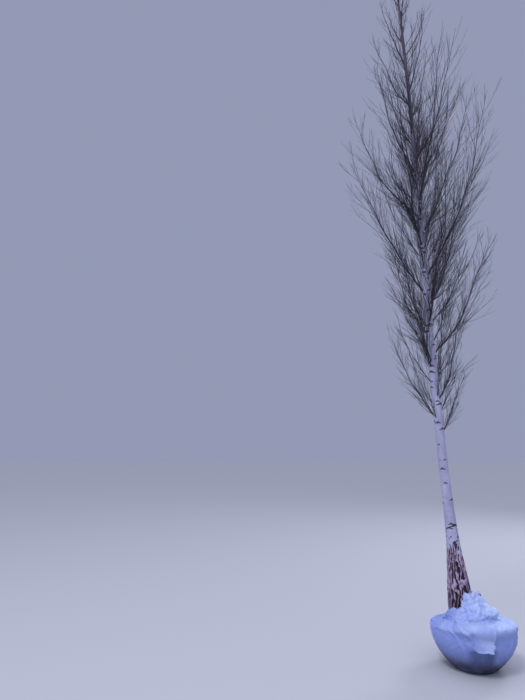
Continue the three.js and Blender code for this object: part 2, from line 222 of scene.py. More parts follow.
FLOOR_COLOUR = (0.52, 0.52, 0.55)

floor_mesh.materials.append(Finish("pale_floor", FLOOR_COLOUR, 0.9, 0.2).material)

# %% [markdown]
# ## Meshes from arrays
# A crown has tens of thousands of twigs. Objects or modifiers for each would be slow and heavy, so the
# points and triangles of whole groups are worked out as arrays and handed to a mesh in one go. A piece
# then hides the plain solids it stands for, and gets its materials.

# %% Meshes from arrays
def mesh_of(name, points, triangles):
    mesh = bpy.data.meshes.new(name)
    mesh.vertices.add(len(points))
    mesh.vertices.foreach_set("co", np.asarray(points, np.float32).ravel())
    mesh.loops.add(triangles.size)
    mesh.loops.foreach_set("vertex_index", np.asarray(triangles, np.int32).ravel())
    mesh.polygons.add(len(triangles))
    mesh.polygons.foreach_set("loop_start", np.arange(0, triangles.size, 3, dtype=np.int32))
    mesh.polygons.foreach_set("use_smooth", np.ones(len(triangles), bool))
    mesh.update(calc_edges=True)
    return mesh


def add_values(mesh, name, values):
    kind = "FLOAT_VECTOR" if values.ndim == 2 else "FLOAT"
    layer = mesh.attributes.new(name, kind, "POINT")
    layer.data.foreach_set("vector" if values.ndim == 2 else "value", np.asarray(values, np.float32).ravel())


def place_piece(mesh, stands_for, materials):
    piece = bpy.data.objects.new(mesh.name, mesh)
    bpy.context.scene.collection.objects.link(piece)
    for material in materials:
        mesh.materials.append(material)
    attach(piece, "root")
    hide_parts(*stands_for)
    print(mesh.name, "has", len(mesh.polygons), "triangles and stands for", len(stands_for), "solids")
    return piece


def every_pair(rows, columns):
    """Both values at every point of a grid, row by row, as two flat arrays."""
    return [values.ravel() for values in np.meshgrid(rows, columns, indexing="ij")]


def grid_triangles(rows, columns, closed=True):
    """Triangles of a grid; where it is closed, the last column meets the first one."""
    row, column = every_pair(np.arange(rows - 1), np.arange(columns if closed else columns - 1))
    beside = (column + 1) % columns
    a = row * columns + column
    b = row * columns + beside
    c = (row + 1) * columns + beside
    d = (row + 1) * columns + column
    return np.concatenate([np.stack([a, b, c], -1), np.stack([a, c, d], -1)])


def fan(ring_start, columns, middle, last_ring):
    """Triangles that close the last or the first ring of a grid to one middle point."""
    here = np.arange(columns)
    beside = (here + 1) % columns
    edge = (here, beside) if last_ring else (beside, here)
    return np.stack([ring_start + edge[0], ring_start + edge[1], np.full(columns, middle)], -1)


# %% Small sums on arrays
def unit(vectors):
    return vectors / np.maximum(np.linalg.norm(vectors, axis=-1, keepdims=True), 1e-12)


def smooth(value, low, high):
    """A soft step from 0 at low to 1 at high."""
    share = np.clip((value - low) / (high - low), 0, 1)
    return share * share * (3 - 2 * share)


def half_turn(angle):
    """The same direction as an angle between minus half a turn and half a turn."""
    return (angle + np.pi) % (2 * np.pi) - np.pi


def noise_at(points, scale, detail=3):
    """Soft noise of about -1 to 1 at each point, the same on every run.

    The scale says how many lumps there are to a metre, for each axis where it has three numbers. Points
    that are all moved by the same step meet another part of the noise, so they get a new pattern.
    """
    scaled = np.asarray(points) * np.asarray(scale)
    return np.array([noise.fractal(Vector(p), 1.0, 2.0, detail) for p in scaled.tolist()])


# %% [markdown]
# ## Where the trunk runs
# The real trunk leans to the left, sways slowly and flares into the roots. The solids were made by a few
# formulas with named sizes. The same formulas stand here again, so that the finer trunk and every
# branch foot land exactly where the solids are.

# %% Where the trunk runs
SOIL_TOP = 0.327
LINE_START = 0.372
TRUNK_TOP = 5.6
TREE_TOP = 6.11
FOOT_GAP = 0.0003
FOOT_X = -0.08
LEAN = 0.058
SWEEP_X = 0.016
SWEEP_LENGTH = 2.6
BOW_Y = 0.022
BOW_LENGTH = 3.4
SHAFT_RADIUS = 0.04
TAPER_POWER = 0.85
FLARE_RADIUS = 0.045
FLARE_HEIGHT = 0.36
FLARE_POWER = 1.8
FLARE_LOBES = 5
LOBE_DEPTH = 0.16


def trunk_centre(z):
    height = np.asarray(z) - LINE_START
    x = FOOT_X - LEAN * height - SWEEP_X * np.sin(np.pi * height / SWEEP_LENGTH)
    y = BOW_Y * np.sin(np.pi * height / BOW_LENGTH)
    return np.stack([x, y, np.asarray(z, float)], -1)


def shaft_radius(z):
    share = np.minimum((np.asarray(z) - LINE_START) / (TREE_TOP - LINE_START), 1)
    return SHAFT_RADIUS * (1 - share) ** TAPER_POWER


def flare_at(z):
    height = np.maximum(np.asarray(z) - LINE_START, 0)
    return FLARE_RADIUS * np.exp(-((height / FLARE_HEIGHT) ** FLARE_POWER))


for height in (0.55, 1.5, 3.0, 4.5):
    width = 2 * float(shaft_radius(height) + flare_at(height))
    print("the trunk is", round(width * 1000), "mm thick at", height, "m")

# %% [markdown]
# ## Where the branches run
# A branch leaves the trunk at a steep angle and turns up to the light, so one bowed line with two
# directions draws it. Its numbers come from a seeded generator that is the same as in the solids: every
# run grows the same tree. Between the main branches, short shoots come straight from the trunk; they
# follow the same rule at a smaller size.

# %% The seeded numbers and a bowed line
class Dice:
    def __init__(self, seed):
        self.state = seed
        for _ in range(3):
            self.roll()

    def roll(self):
        self.state = (self.state * 1664525 + 1013904223) % 2**32
        return self.state / 2**32

    def between(self, low, high):
        return low + (high - low) * self.roll()


UP = np.array([0.0, 0.0, 1.0])


def way_at(bearing, from_upright):
    out = math.sin(from_upright)
    return np.array([out * math.cos(bearing), out * math.sin(bearing), math.cos(from_upright)])


def bowed(start, first, last, length, bend, steps):
    """Points along bowed lines; start, first and last are (n, 3) and length is (n,)."""
    knee = start + first * (length * bend)[:, None]
    end = knee + last * (length * (1 - bend))[:, None]
    share = np.linspace(0, 1, steps)[None, :, None]
    from_start = (1 - share) ** 2 * start[:, None]
    return from_start + 2 * share * (1 - share) * knee[:, None] + share**2 * end[:, None]


# %% The rule of a branch, as in the solids
LOWEST_BRANCH = 1.6
HIGHEST_BRANCH = 5.48
LONGEST_BRANCH = 1.42
LENGTH_VARIES = (0.88, 1.08)
LONGEST_AT = 2.85
LENGTH_RISES_OVER = 1.85
RISE_POWER = 1.5
LENGTH_FALLS_OVER = 2.9
FALL_POWER = 1.15
BEARING_SPREAD = 16
LEAVES_TRUNK_AT = 44
ENDS_AT = 17
STEEPER_UPWARDS = 9
ANGLE_SPREAD = 5
VEERS_BY = 12
BEND_SHARE = 0.4
BRANCH_FOOT_RADIUS = 0.0032
BRANCH_EXTRA_RADIUS = 0.0046


def fullness(height):
    """The length of a branch at this height as a share of the longest."""
    if height < LONGEST_AT:
        return 1 - ((LONGEST_AT - height) / LENGTH_RISES_OVER) ** RISE_POWER
    return 1 - ((height - LONGEST_AT) / LENGTH_FALLS_OVER) ** FALL_POWER


def branch_at(seed, turn, height, size):
    """One branch of the rule: its line, its size and the numbers that it goes on with."""
    dice = Dice(seed)
    share = (height - LOWEST_BRANCH) / (HIGHEST_BRANCH - LOWEST_BRANCH)
    bearing = math.radians(turn + dice.between(-BEARING_SPREAD, BEARING_SPREAD))
    length = size * fullness(height) * dice.between(*LENGTH_VARIES)
    steeper = STEEPER_UPWARDS * share
    first = math.radians(LEAVES_TRUNK_AT - steeper + dice.between(-ANGLE_SPREAD, ANGLE_SPREAD))
    last = math.radians(ENDS_AT - steeper + dice.between(-ANGLE_SPREAD, ANGLE_SPREAD))
    veer = math.radians(dice.between(-VEERS_BY, VEERS_BY))
    return {
        "dice": dice,
        "start": trunk_centre(height),
        "first": way_at(bearing, first),
        "last": way_at(bearing + veer, last),
        "bearing": bearing,
        "length": length,
        "foot_radius": BRANCH_FOOT_RADIUS + BRANCH_EXTRA_RADIUS * length / LONGEST_BRANCH,
        "bend": BEND_SHARE,
    }


# %% The main branches and the leading shoot
BOUGHS = 20
UPPER_BRANCHES = 14
HIGHEST_BOUGH = 3.9
LOWEST_UPPER = 4.03
GOLDEN_ANGLE = 137.508
FIRST_BEARING = 20
BOUGH_SHARE = 0.3
SEED = 4021
SEED_STEP = 97

branches = []
for index in range(BOUGHS + UPPER_BRANCHES):
    if index < BOUGHS:
        height = LOWEST_BRANCH + (HIGHEST_BOUGH - LOWEST_BRANCH) * index / (BOUGHS - 1)
    else:
        rank = index - BOUGHS
        height = LOWEST_UPPER + (HIGHEST_BRANCH - LOWEST_UPPER) * rank / (UPPER_BRANCHES - 1)
    turn = FIRST_BEARING + GOLDEN_ANGLE * index
    branches.append(branch_at(SEED + SEED_STEP * index, turn, height, LONGEST_BRANCH))
    branches[-1]["node"] = f"twigs_{index + 1:02d}" if index < BOUGHS else f"upper_twigs_{rank + 1:02d}"
    branches[-1]["stem_from"] = BOUGH_SHARE if index < BOUGHS else 0.0

leader_foot = trunk_centre(TRUNK_TOP + 2 * FOOT_GAP)
leader_way = trunk_centre(TREE_TOP) - leader_foot
branches.append({
    "dice": Dice(SEED - 1),
    "start": leader_foot,
    "first": unit(leader_way),
    "last": unit(leader_way),
    "bearing": 0.0,
    "length": float(np.linalg.norm(leader_way)),
    "foot_radius": float(shaft_radius(TRUNK_TOP)),
    "bend": 0.5,
    "node": "leader_twigs",
    "stem_from": 0.0,
})
MAIN_BRANCHES = len(branches)
print(MAIN_BRANCHES, "main branches, the longest", round(max(b["length"] for b in branches), 2), "m")

# %% [markdown]
# ## Short shoots
# With the main branches alone the trunk would stand bare between them. On a birch short shoots fill
# those stretches. They could be twigs of a new kind, but they follow the same rule as the branches, only
# smaller and thinner, so the same function makes them.

# %% Short shoots from the trunk between them
SHOOTS = 70
LOWEST_SHOOT = 1.62
HIGHEST_SHOOT = 5.46
SHOOT_SIZES = (0.5, 1.12)
SHOOT_THINNER = 0.7
SHOOT_SCATTER = 0.6
SHOOT_TURNS_ON = 68
SHOOT_SEED = 9000

for index in range(SHOOTS):
    sizes = Dice(SHOOT_SEED - 1 - index)
    rank = index + SHOOT_SCATTER * sizes.roll()
    height = LOWEST_SHOOT + (HIGHEST_SHOOT - LOWEST_SHOOT) * rank / SHOOTS
    turn = FIRST_BEARING + SHOOT_TURNS_ON + GOLDEN_ANGLE * index
    branches.append(branch_at(SHOOT_SEED + SEED_STEP * index, turn, height, sizes.between(*SHOOT_SIZES)))
    branches[-1]["foot_radius"] *= SHOOT_THINNER
    branches[-1]["stem_from"] = 0.0
print(SHOOTS, "short shoots between them")

# %% [markdown]
# ## Lines that wander
# A bowed line is as smooth as wire. Real wood drifts from side to side as each year's bud takes over. A
# random walk would make kinks, so the drift is a sum of three waves, slow ones large and quick ones
# small, and it starts from nothing at the foot.

# %% Draw the branches as lines
BRANCH_STEPS = 28
BRANCH_TIP_RADIUS = 0.0009
WANDER = 0.011
WANDER_WAVES = (0.8, 1.7, 3.9)


def gathered(key):
    return np.array([branch[key] for branch in branches])


def wandering(paths, lengths, seed, size=WANDER):
    """The same lines, each drifting a little in both directions across it, but not at its foot."""
    rng = np.random.default_rng(seed)
    count, steps, _ = paths.shape
    share = np.linspace(0, 1, steps)[None, :]
    along = unit(paths[:, -1] - paths[:, 0])
    side = unit(np.cross(along, rng.normal(size=(count, 3))))
    other = np.cross(along, side)
    moved = paths.copy()
    for way in (side, other):
        for waves in WANDER_WAVES:
            phase = rng.uniform(0, 2 * np.pi, (count, 1))
            drift = np.sin(waves * 2 * np.pi * share + phase) - np.sin(phase)
            push = size * lengths[:, None] * drift * smooth(share, 0, 0.5) / waves
            moved += push[..., None] * way[:, None]
    return moved


branch_length = gathered("length")
branch_lines = bowed(
    gathered("start"), gathered("first"), gathered("last"), branch_length, gathered("bend"), BRANCH_STEPS
)
branch_lines = wandering(branch_lines, branch_length, SEED)
share = np.linspace(0, 1, BRANCH_STEPS)[None, :]
branch_foot = gathered("foot_radius")[:, None]
branch_radius = branch_foot + (BRANCH_TIP_RADIUS - branch_foot) * share
print("together they run", round(float(branch_length.sum()), 1), "m")

# %% [markdown]
# ## The twigs
# Birch twigs are thin, long and stand all round their branch by the golden angle. The rule that grew the
# solids' twigs is run again with the same numbers, so the finer crown has the same reach, and then it
# is carried on: more shoots on each branch, shoots on those shoots, and short spurs on the last ones.
# All shoots of one order are worked out together, as arrays. A crown where every shoot grew would be a
# brush, so some are left out by chance: more of them far from the trunk and near the top, where the
# light shines through. No finer twig grows out of the frame's box, and none grows through the trunk.

# %% The rule of a side shoot, for many shoots at once
TWIG_TURNS_UP = 0.75
TWIG_BEND_SHARE = 0.45
TWIG_SPREADS_AT = 28
TRUNK_CLEARANCE = 0.006
GROWS_SHARE = 0.70
INNER_REACH = (0.08, 0.24)
OUTER_SHARE = 0.70
TOP_THINS = (3.7, 4.8)
TOP_SHARE = 0.28
BOX_EASE = 0.010


def point_on(lines, owner, share):
    """The points, and the ways of the lines there, at a share of the lines with these numbers."""
    steps = lines.shape[1] - 1
    at = np.clip(share, 0, 0.9999) * steps
    low = at.astype(int)
    part = (at - low)[:, None]
    before = lines[owner, low]
    after = lines[owner, low + 1]
    return before + (after - before) * part, unit(after - before)


def shoots_from(lines, owner, share, turn, spread, length, steps, turns_up=TWIG_TURNS_UP):
    """Bowed side shoots on some of the lines; owner says on which line each of them stands."""
    foot, along = point_on(lines, owner, share)
    side = unit(np.cross(along, UP))
    front = np.cross(along, side)
    outward = side * np.cos(turn)[:, None] + front * np.sin(turn)[:, None]
    first = along * np.cos(spread)[:, None] + outward * np.sin(spread)[:, None]
    last = unit(first + UP * turns_up)
    return bowed(foot, first, last, length, TWIG_BEND_SHARE, steps)


def grows_by_chance(lines, seed):
    """True for each line that grows: fewer do so far from the trunk and near the top."""
    middle = lines[:, lines.shape[1] // 2]
    away = np.linalg.norm((middle - trunk_centre(middle[:, 2]))[:, :2], axis=1)
    grows = GROWS_SHARE * (1 - (1 - OUTER_SHARE) * smooth(away, *INNER_REACH))
    grows *= 1 - (1 - TOP_SHARE) * smooth(middle[:, 2], *TOP_THINS)
    low, high = [np.array(corner) for corner in cad_box]
    inside = ((lines > low - BOX_EASE) & (lines < high + BOX_EASE)).all(axis=(1, 2))
    return inside & (np.random.default_rng(seed).uniform(size=len(lines)) < grows)


def clear_of_trunk(lines):
    """True for each line that, past its foot, keeps clear of the trunk."""
    outer = lines[:, lines.shape[1] // 3:]
    z = outer[..., 2]
    away = np.linalg.norm((outer - trunk_centre(z))[..., :2], axis=-1)
    room = shaft_radius(z) + TRUNK_CLEARANCE
    return ((away > room) | (z > TRUNK_TOP)).all(axis=1)


# %% [markdown]
# ## The first order of twigs
# These are the twigs that stand on the branches themselves. The solids already have thirteen on each
# branch, with their lengths and turns. They come first, from the same seeded numbers, because they say
# how far the crown reaches. Finer twigs then fill the space between them; they spread less and stay
# closer to their branch.

# %% First order: the solids' own twigs, then more between them
TWIGS_PER_STEM = 13
FIRST_TWIG_AT = 0.06
LAST_TWIG_AT = 0.9
TWIG_LENGTH_SHARE = 0.55
TWIG_LENGTH_VARIES = (0.6, 1.15)
TWIG_SHORTENS = 0.7
TWIG_TURN_SPREAD = 25
TWIG_SPREAD_VARIES = (0.7, 1.3)
FINE_PER_METRE = 58
FINE_FROM = 0.06
FINE_TO = 0.9
FINE_CROWDS_IN = 1.4
FINE_TURNS_ON = 60
FINE_LENGTH_VARIES = (0.35, 0.9)
FINE_SPREADS_AT = 21


def first_order():
    """Lists of numbers, one for each twig; the order of the draws is the solids' own."""
    owner, share, turn, spread, length, is_fine = [], [], [], [], [], []

    def add(number, at, degrees, spread_share, length_share, fine_one):
        branch = branches[number]
        full = branch["length"] * TWIG_LENGTH_SHARE * (1 - TWIG_SHORTENS * at)
        owner.append(number)
        share.append(at)
        turn.append(math.radians(degrees))
        spread.append(math.radians((FINE_SPREADS_AT if fine_one else TWIG_SPREADS_AT) * spread_share))
        length.append(full * length_share)
        is_fine.append(fine_one)

    for number, branch in enumerate(branches):
        dice = branch["dice"]
        start = branch["stem_from"]
        if number < MAIN_BRANCHES:
            for i in range(TWIGS_PER_STEM):
                on_stem = FIRST_TWIG_AT + (LAST_TWIG_AT - FIRST_TWIG_AT) * i / (TWIGS_PER_STEM - 1)
                length_share = dice.between(*TWIG_LENGTH_VARIES)
                degrees = GOLDEN_ANGLE * i + dice.between(-TWIG_TURN_SPREAD, TWIG_TURN_SPREAD)
                spread_share = dice.between(*TWIG_SPREAD_VARIES)
                dice.roll()  # the solids draw one number more for each twig
                add(number, start + (1 - start) * on_stem, degrees, spread_share, length_share, False)
        fine = int(branch["length"] * FINE_PER_METRE)
        for i in range(fine):
            at = FINE_FROM + (FINE_TO - FINE_FROM) * ((i + dice.roll()) / fine) ** FINE_CROWDS_IN
            degrees = FINE_TURNS_ON + GOLDEN_ANGLE * i
            degrees += dice.between(-TWIG_TURN_SPREAD, TWIG_TURN_SPREAD)
            spread_share = dice.between(*TWIG_SPREAD_VARIES)
            add(number, at, degrees, spread_share, dice.between(*FINE_LENGTH_VARIES), True)
    return [np.array(values) for values in (owner, share, turn, spread, length, is_fine)]


# %% Draw the first order, and leave out what doesn't grow
FIRST_STEPS = 9
FINE_TURNS_UP = 0.35
FINE_WANDER = 0.006

first_owner, first_share, first_turn, first_spread, first_length, is_fine = first_order()
turns_up = np.where(is_fine, FINE_TURNS_UP, TWIG_TURNS_UP)[:, None]
first_lines = shoots_from(
    branch_lines, first_owner, first_share, first_turn, first_spread, first_length, FIRST_STEPS, turns_up
)
first_lines = wandering(first_lines, first_length, SEED + 1, FINE_WANDER)
kept = clear_of_trunk(first_lines) & (grows_by_chance(first_lines, SEED + 8) | ~is_fine)
first_owner, first_share, first_length = first_owner[kept], first_share[kept], first_length[kept]
first_lines = first_lines[kept]
print(len(first_lines), "twigs of the first order")

# %% [markdown]
# ## Shoots on shoots
# The finest twigs are the most, and they make the haze that a bare birch is known by. They could be
# scattered as copies of a few sprays, but copies would repeat where the crown is thin. So one rule
# grows every order from the one before it: a long shoot carries more side shoots than a short one.

# %% Second and third order
SECOND_SPACING = 0.036
SECOND_MOST = 13
SECOND_LENGTH_SHARE = 0.74
SECOND_STEPS = 6
THIRD_SPACING = 0.055
THIRD_MOST = 5
THIRD_LENGTH_SHARE = 0.7
THIRD_STEPS = 4
LATER_FROM = 0.10
LATER_SPAN = 0.70
LATER_SCATTER = (0.2, 0.8)
LATER_LENGTH_VARIES = (0.5, 1.15)
LATER_TURNS_UP = 0.3
LATER_SPREADS_AT = 18


def next_order(lines, lengths, spacing, most, length_share, steps, seed):
    """Side shoots on every line, as many as its length carries; gives their lines and owners."""
    rng = np.random.default_rng(seed)
    count = np.clip((lengths / spacing).astype(int), 0, most)
    owner = np.repeat(np.arange(len(lines)), count)
    rank = np.arange(len(owner)) - np.repeat(np.cumsum(count) - count, count)
    share = LATER_FROM + LATER_SPAN * (rank + rng.uniform(*LATER_SCATTER, len(owner))) / count[owner]
    turn = np.radians(GOLDEN_ANGLE * rank + 360 * rng.uniform(size=len(lines))[owner])
    turn += np.radians(rng.uniform(-TWIG_TURN_SPREAD, TWIG_TURN_SPREAD, len(owner)))
    spread = np.radians(LATER_SPREADS_AT * rng.uniform(*TWIG_SPREAD_VARIES, len(owner)))
    varies = rng.uniform(*LATER_LENGTH_VARIES, len(owner))
    length = lengths[owner] * length_share * (1 - TWIG_SHORTENS * share) * varies
    made = shoots_from(lines, owner, share, turn, spread, length, steps, LATER_TURNS_UP)
    made = wandering(made, length, seed + 1, FINE_WANDER)
    kept = clear_of_trunk(made) & grows_by_chance(made, seed + 9)
    return made[kept], owner[kept], length[kept]


second_lines, second_owner, second_length = next_order(
    first_lines, first_length, SECOND_SPACING, SECOND_MOST, SECOND_LENGTH_SHARE, SECOND_STEPS, SEED + 2
)
third_lines, third_owner, third_length = next_order(
    second_lines, second_length, THIRD_SPACING, THIRD_MOST, THIRD_LENGTH_SHARE, THIRD_STEPS, SEED + 4
)
print(len(second_lines), "of the second and", len(third_lines), "of the third order")
total = first_length.sum() + second_length.sum() + third_length.sum()
print("all twigs together are", round(float(total)), "m long")

# %% [markdown]
# ## From lines to tapering tubes
# A twig could be a curve with a bevel, but a hundred thousand bevels are slow. A tube is only rings of
# points round a line: all twigs of one order have the same number of rings, so one small list of
# triangles, shifted for each twig, covers them all. The last point is a single tip, and the foot is
# closed too, so every twig is a closed body that starts inside its parent.

# %% From lines to tapering tubes
OFF_AXIS = 0.6


def tube_triangles(rings, sides):
    rows = grid_triangles(rings, sides)
    last = (rings - 1) * sides
    tip = rings * sides
    inner = np.arange(1, sides - 1)
    foot = np.stack([np.zeros_like(inner), inner + 1, inner], -1)
    return np.concatenate([rows, fan(last, sides, tip, last_ring=True), foot])


def tubes(lines, radii, sides):
    """Closed tapering tubes along lines (n, k, 3) with radii (n, k).

    Each ring stands across its line. Its first point lies towards x, or towards y where the line itself
    runs along x.
    """
    count, steps, _ = lines.shape
    along = unit(np.gradient(lines, axis=1))
    chord = unit(lines[:, -1] - lines[:, 0])
    off_x = np.abs(chord[:, :1]) < OFF_AXIS
    across = np.where(off_x, np.array([[1.0, 0, 0]]), np.array([[0, 1.0, 0]]))[:, None]
    side = unit(across - along * (across * along).sum(-1, keepdims=True))
    front = np.cross(along, side)
    angle = 2 * np.pi * np.arange(sides) / sides
    ring = side[:, :, None] * np.cos(angle)[:, None] + front[:, :, None] * np.sin(angle)[:, None]
    points = lines[:, :-1, None] + ring[:, :-1] * radii[:, :-1, None, None]
    points = np.concatenate([points.reshape(count, -1, 3), lines[:, -1:]], axis=1)
    one = tube_triangles(steps - 1, sides)
    shift = np.arange(count)[:, None, None] * points.shape[1]
    return points.reshape(-1, 3), (one[None] + shift).reshape(-1, 3)


def tapered(foot, tip, steps):
    share = np.linspace(0, 1, steps)[None, :]
    return foot[:, None] + (tip - foot[:, None]) * share


# %% [markdown]
# ## Bark of the branches
# Young birch wood is smooth and dark, purple-brown clouded with grey, and has small pale pores. A plain
# colour would do from far away, but the boughs are thick enough to show both, so they get clouds of
# noise and flattened dots. On a twig two millimetres thick no pattern shows, so the twigs have plain
# colours: three of them, dealt out by spray, keep the crown from looking like one flat tone.

# %% Bark of the branches
DARK_WOOD = (0.032, 0.019, 0.036)
GREY_WOOD = (0.085, 0.060, 0.090)
PORE_COLOUR = (0.20, 0.16, 0.22)
TWIG_TINTS = ((0.009, 0.005, 0.018), (0.017, 0.008, 0.022), (0.011, 0.009, 0.028))


def branch_bark():
    bark = Finish("branch_bark", (0.13, 0.085, 0.10), 0.6, 0.35)
    place = bark.node("TexCoord").outputs["Object"]
    cloudy = bark.noise(place, 9.0)
    colour = bark.mix(cloudy, DARK_WOOD, GREY_WOOD)
    pores = bark.cells(bark.stretched(place, (1, 1, 2.4)), 150.0)
    pore = bark.between(pores, 0.16, 0.30, 1.0, 0.0)
    colour = bark.mix(bark.math("MULTIPLY", pore, 0.55), colour, PORE_COLOUR)
    grain = bark.noise(bark.stretched(place, (1, 1, 0.25)), 420.0)
    return bark.finish(colour, bark.between(cloudy, 0.3, 0.7, 0.52, 0.7), bark.bump(grain, 0.0006))


twig_materials = [
    Finish(f"twig_bark_{number + 1}", tint, 0.58, 0.35).material for number, tint in enumerate(TWIG_TINTS)
]

# %% [markdown]
# ## The limbs
# The limbs are what the twigs stand on: the boughs, the stems that run on from them through their twigs,
# and the short shoots. Each could be an object of its own, to be picked and changed alone. But all have
# the same bark, so one mesh of tubes holds them, and it stands for the plain boughs.

# %% The limbs: boughs, stems and short shoots
LIMB_SIDES = 9

limb_points, limb_triangles = tubes(branch_lines, branch_radius, LIMB_SIDES)
limbs = mesh_of("crown_limbs", limb_points, limb_triangles)
bough_nodes = [f"bough_{index + 1:02d}" for index in range(BOUGHS)]
place_piece(limbs, bough_nodes, [branch_bark()])

# %% [markdown]
# ## Putting the twigs into pieces
# One mesh with every twig would be too heavy to handle, so the crown is cut by its branches into a few
# pieces of like size. Each piece holds whole branches with everything that grows on them, and stands for
# those branches' plain masses. A spray is a first-order twig with its side shoots and gets one tint.

# %% Putting the twigs into pieces
PIECE_LIMIT = 190000
FIRST_FOOT_SHARE = 0.30
FIRST_FOOT_LEAST = 0.0011
FIRST_TIP = 0.0006
FIRST_SIDES = 4
LATER_SIDES = 3
SECOND_FOOT = 0.0007
SECOND_TIP = 0.0004
THIRD_FOOT = 0.0005
THIRD_TIP = 0.0003

parent_radius = branch_foot[first_owner, 0] * (1 - first_share) + BRANCH_TIP_RADIUS * first_share
first_foot = np.maximum(FIRST_FOOT_LEAST, FIRST_FOOT_SHARE * parent_radius)
second_foot = np.full(len(second_lines), SECOND_FOOT)
third_foot = np.full(len(third_lines), THIRD_FOOT)
spray_tint = np.random.default_rng(SEED + 7).integers(0, len(TWIG_TINTS), len(first_lines))
orders = [
    (first_lines, tapered(first_foot, FIRST_TIP, FIRST_STEPS), FIRST_SIDES, np.arange(len(first_lines))),
    (second_lines, tapered(second_foot, SECOND_TIP, SECOND_STEPS), LATER_SIDES, second_owner),
    (third_lines, tapered(third_foot, THIRD_TIP, THIRD_STEPS), LATER_SIDES, second_owner[third_owner]),
]

weight = np.zeros(len(branches))
for lines, radii, sides, spray in orders:
    one = len(tube_triangles(lines.shape[1] - 1, sides))
    np.add.at(weight, first_owner[spray], one)

# A short shoot goes into the piece of the main branch whose foot is nearest in height
foot_height = gathered("start")[:, 2]
home = np.arange(len(branches))
for index in range(MAIN_BRANCHES, len(branches)):
    home[index] = int(np.argmin(np.abs(foot_height[:MAIN_BRANCHES] - foot_height[index])))
home_weight = np.bincount(home, weights=weight, minlength=MAIN_BRANCHES)[:MAIN_BRANCHES]
piece_count = int(np.ceil(home_weight.sum() / PIECE_LIMIT)) + 1
weight_so_far = np.cumsum(home_weight) / home_weight.sum()
piece_of_home = np.minimum((weight_so_far * piece_count).astype(int), piece_count - 1)
print(int(home_weight.sum()), "triangles of twigs in", piece_count, "pieces")

for piece in range(piece_count):
    points, triangles, tints = [], [], []
    start = 0
    for lines, radii, sides, spray in orders:
        mine = piece_of_home[home[first_owner[spray]]] == piece
        some_points, some_triangles = tubes(lines[mine], radii[mine], sides)
        points.append(some_points)
        triangles.append(some_triangles + start)
        tints.append(np.repeat(spray_tint[spray[mine]], len(some_triangles) // max(1, int(mine.sum()))))
        start += len(some_points)
    mesh = mesh_of(f"crown_twigs_{piece + 1}", np.concatenate(points), np.concatenate(triangles))
    mesh.polygons.foreach_set("material_index", np.concatenate(tints).astype(np.int32))
    nodes = [branches[i]["node"] for i in range(MAIN_BRANCHES) if piece_of_home[i] == piece]
    place_piece(mesh, nodes, twig_materials)

# %% [markdown]
# ## The trunk's bark
# A young birch has three kinds of bark on one stem: dark deep furrows with pale plates at the foot, clean
# white skin above, and brown young wood at the top. Under every branch there is a dark mark like a
# drooping moustache, and short dark dashes run across the white. All of this could be painted on a
# smooth cone, but the furrows are deep enough to see from the side, so they are relief in the mesh. Its
# rings stand close where the bark is rough and far apart where it is smooth.

# %% The trunk's grid of points
TRUNK_COLUMNS = 132
# Where each stretch starts and ends, and how far apart its rings are
ROW_STEPS = ((SOIL_TOP + FOOT_GAP, 1.0, 0.0042), (1.0, 2.6, 0.005), (2.6, TRUNK_TOP, 0.016))

row_z = np.concatenate([np.arange(low, high, step) for low, high, step in ROW_STEPS] + [[TRUNK_TOP]])
bearing = 2 * np.pi * np.arange(TRUNK_COLUMNS) / TRUNK_COLUMNS
trunk_z, trunk_bearing = every_pair(row_z, bearing)
lobed = flare_at(trunk_z) * (1 + LOBE_DEPTH * np.cos(FLARE_LOBES * trunk_bearing))
trunk_radius = shaft_radius(trunk_z) + lobed
around = np.stack([np.cos(trunk_bearing), np.sin(trunk_bearing)], -1)
straight = np.concatenate([around * trunk_radius[:, None], trunk_z[:, None]], axis=1)
print(len(row_z), "rings of", TRUNK_COLUMNS, "points")

# %% [markdown]
# ## Furrows at the foot
# As the trunk swells, the old bark tears into long furrows that run up it and sway a little, with plates
# between them. They could be carved one by one. Here a wave round the trunk makes them all: it is low
# along each furrow, noise bends and ruffles it, and bridges of bark cut the furrows into lengths. Where
# they lie is written on the points, so that relief and colour agree.

# %% Furrows at the foot
FURROW_DEPTH = 0.0065
FURROWS_ROUND = 19
FURROW_SWAY = 2.3
FURROW_RUFFLE = 0.16
FURROW_SHARES = (0.50, 0.90)
BRIDGE_SHARES = (-0.36, -0.06)
CROSS_CRACK_DEPTH = 0.8
CROSS_CRACK_WIDTH = 0.06
ROUGH_TOP = 0.83
ROUGH_TONGUES = 0.13
ROUGH_FADES = (-0.05, 0.13)
FOOT_TOP = 1.1

rows_of_foot = trunk_z < FOOT_TOP
foot_points = straight[rows_of_foot]
sway = noise_at(foot_points, (17, 17, 9), 3) + 0.5 * noise_at(foot_points + 5.0, (40, 40, 22), 2)
wave = np.abs(np.sin(0.5 * FURROWS_ROUND * trunk_bearing[rows_of_foot] + FURROW_SWAY * sway))
crack = 1 - smooth(wave + FURROW_RUFFLE * noise_at(foot_points + 2.0, (70, 70, 30), 2), *FURROW_SHARES)
bridges = noise_at(foot_points + 3.0, (26, 26, 13), 2)
crack *= smooth(bridges, *BRIDGE_SHARES)
across_ridge = np.abs(noise_at(foot_points + 8.0, (24, 24, 34), 2))
crack = np.maximum(crack, CROSS_CRACK_DEPTH * (1 - smooth(across_ridge, 0.0, CROSS_CRACK_WIDTH)))
tongues = noise_at(foot_points, (16, 16, 5), 3)
rough_foot = smooth(ROUGH_TOP + ROUGH_TONGUES * tongues - foot_points[:, 2], *ROUGH_FADES)
furrow = np.zeros(len(trunk_z))
rough = np.zeros(len(trunk_z))
furrow[rows_of_foot] = crack * rough_foot
rough[rows_of_foot] = rough_foot
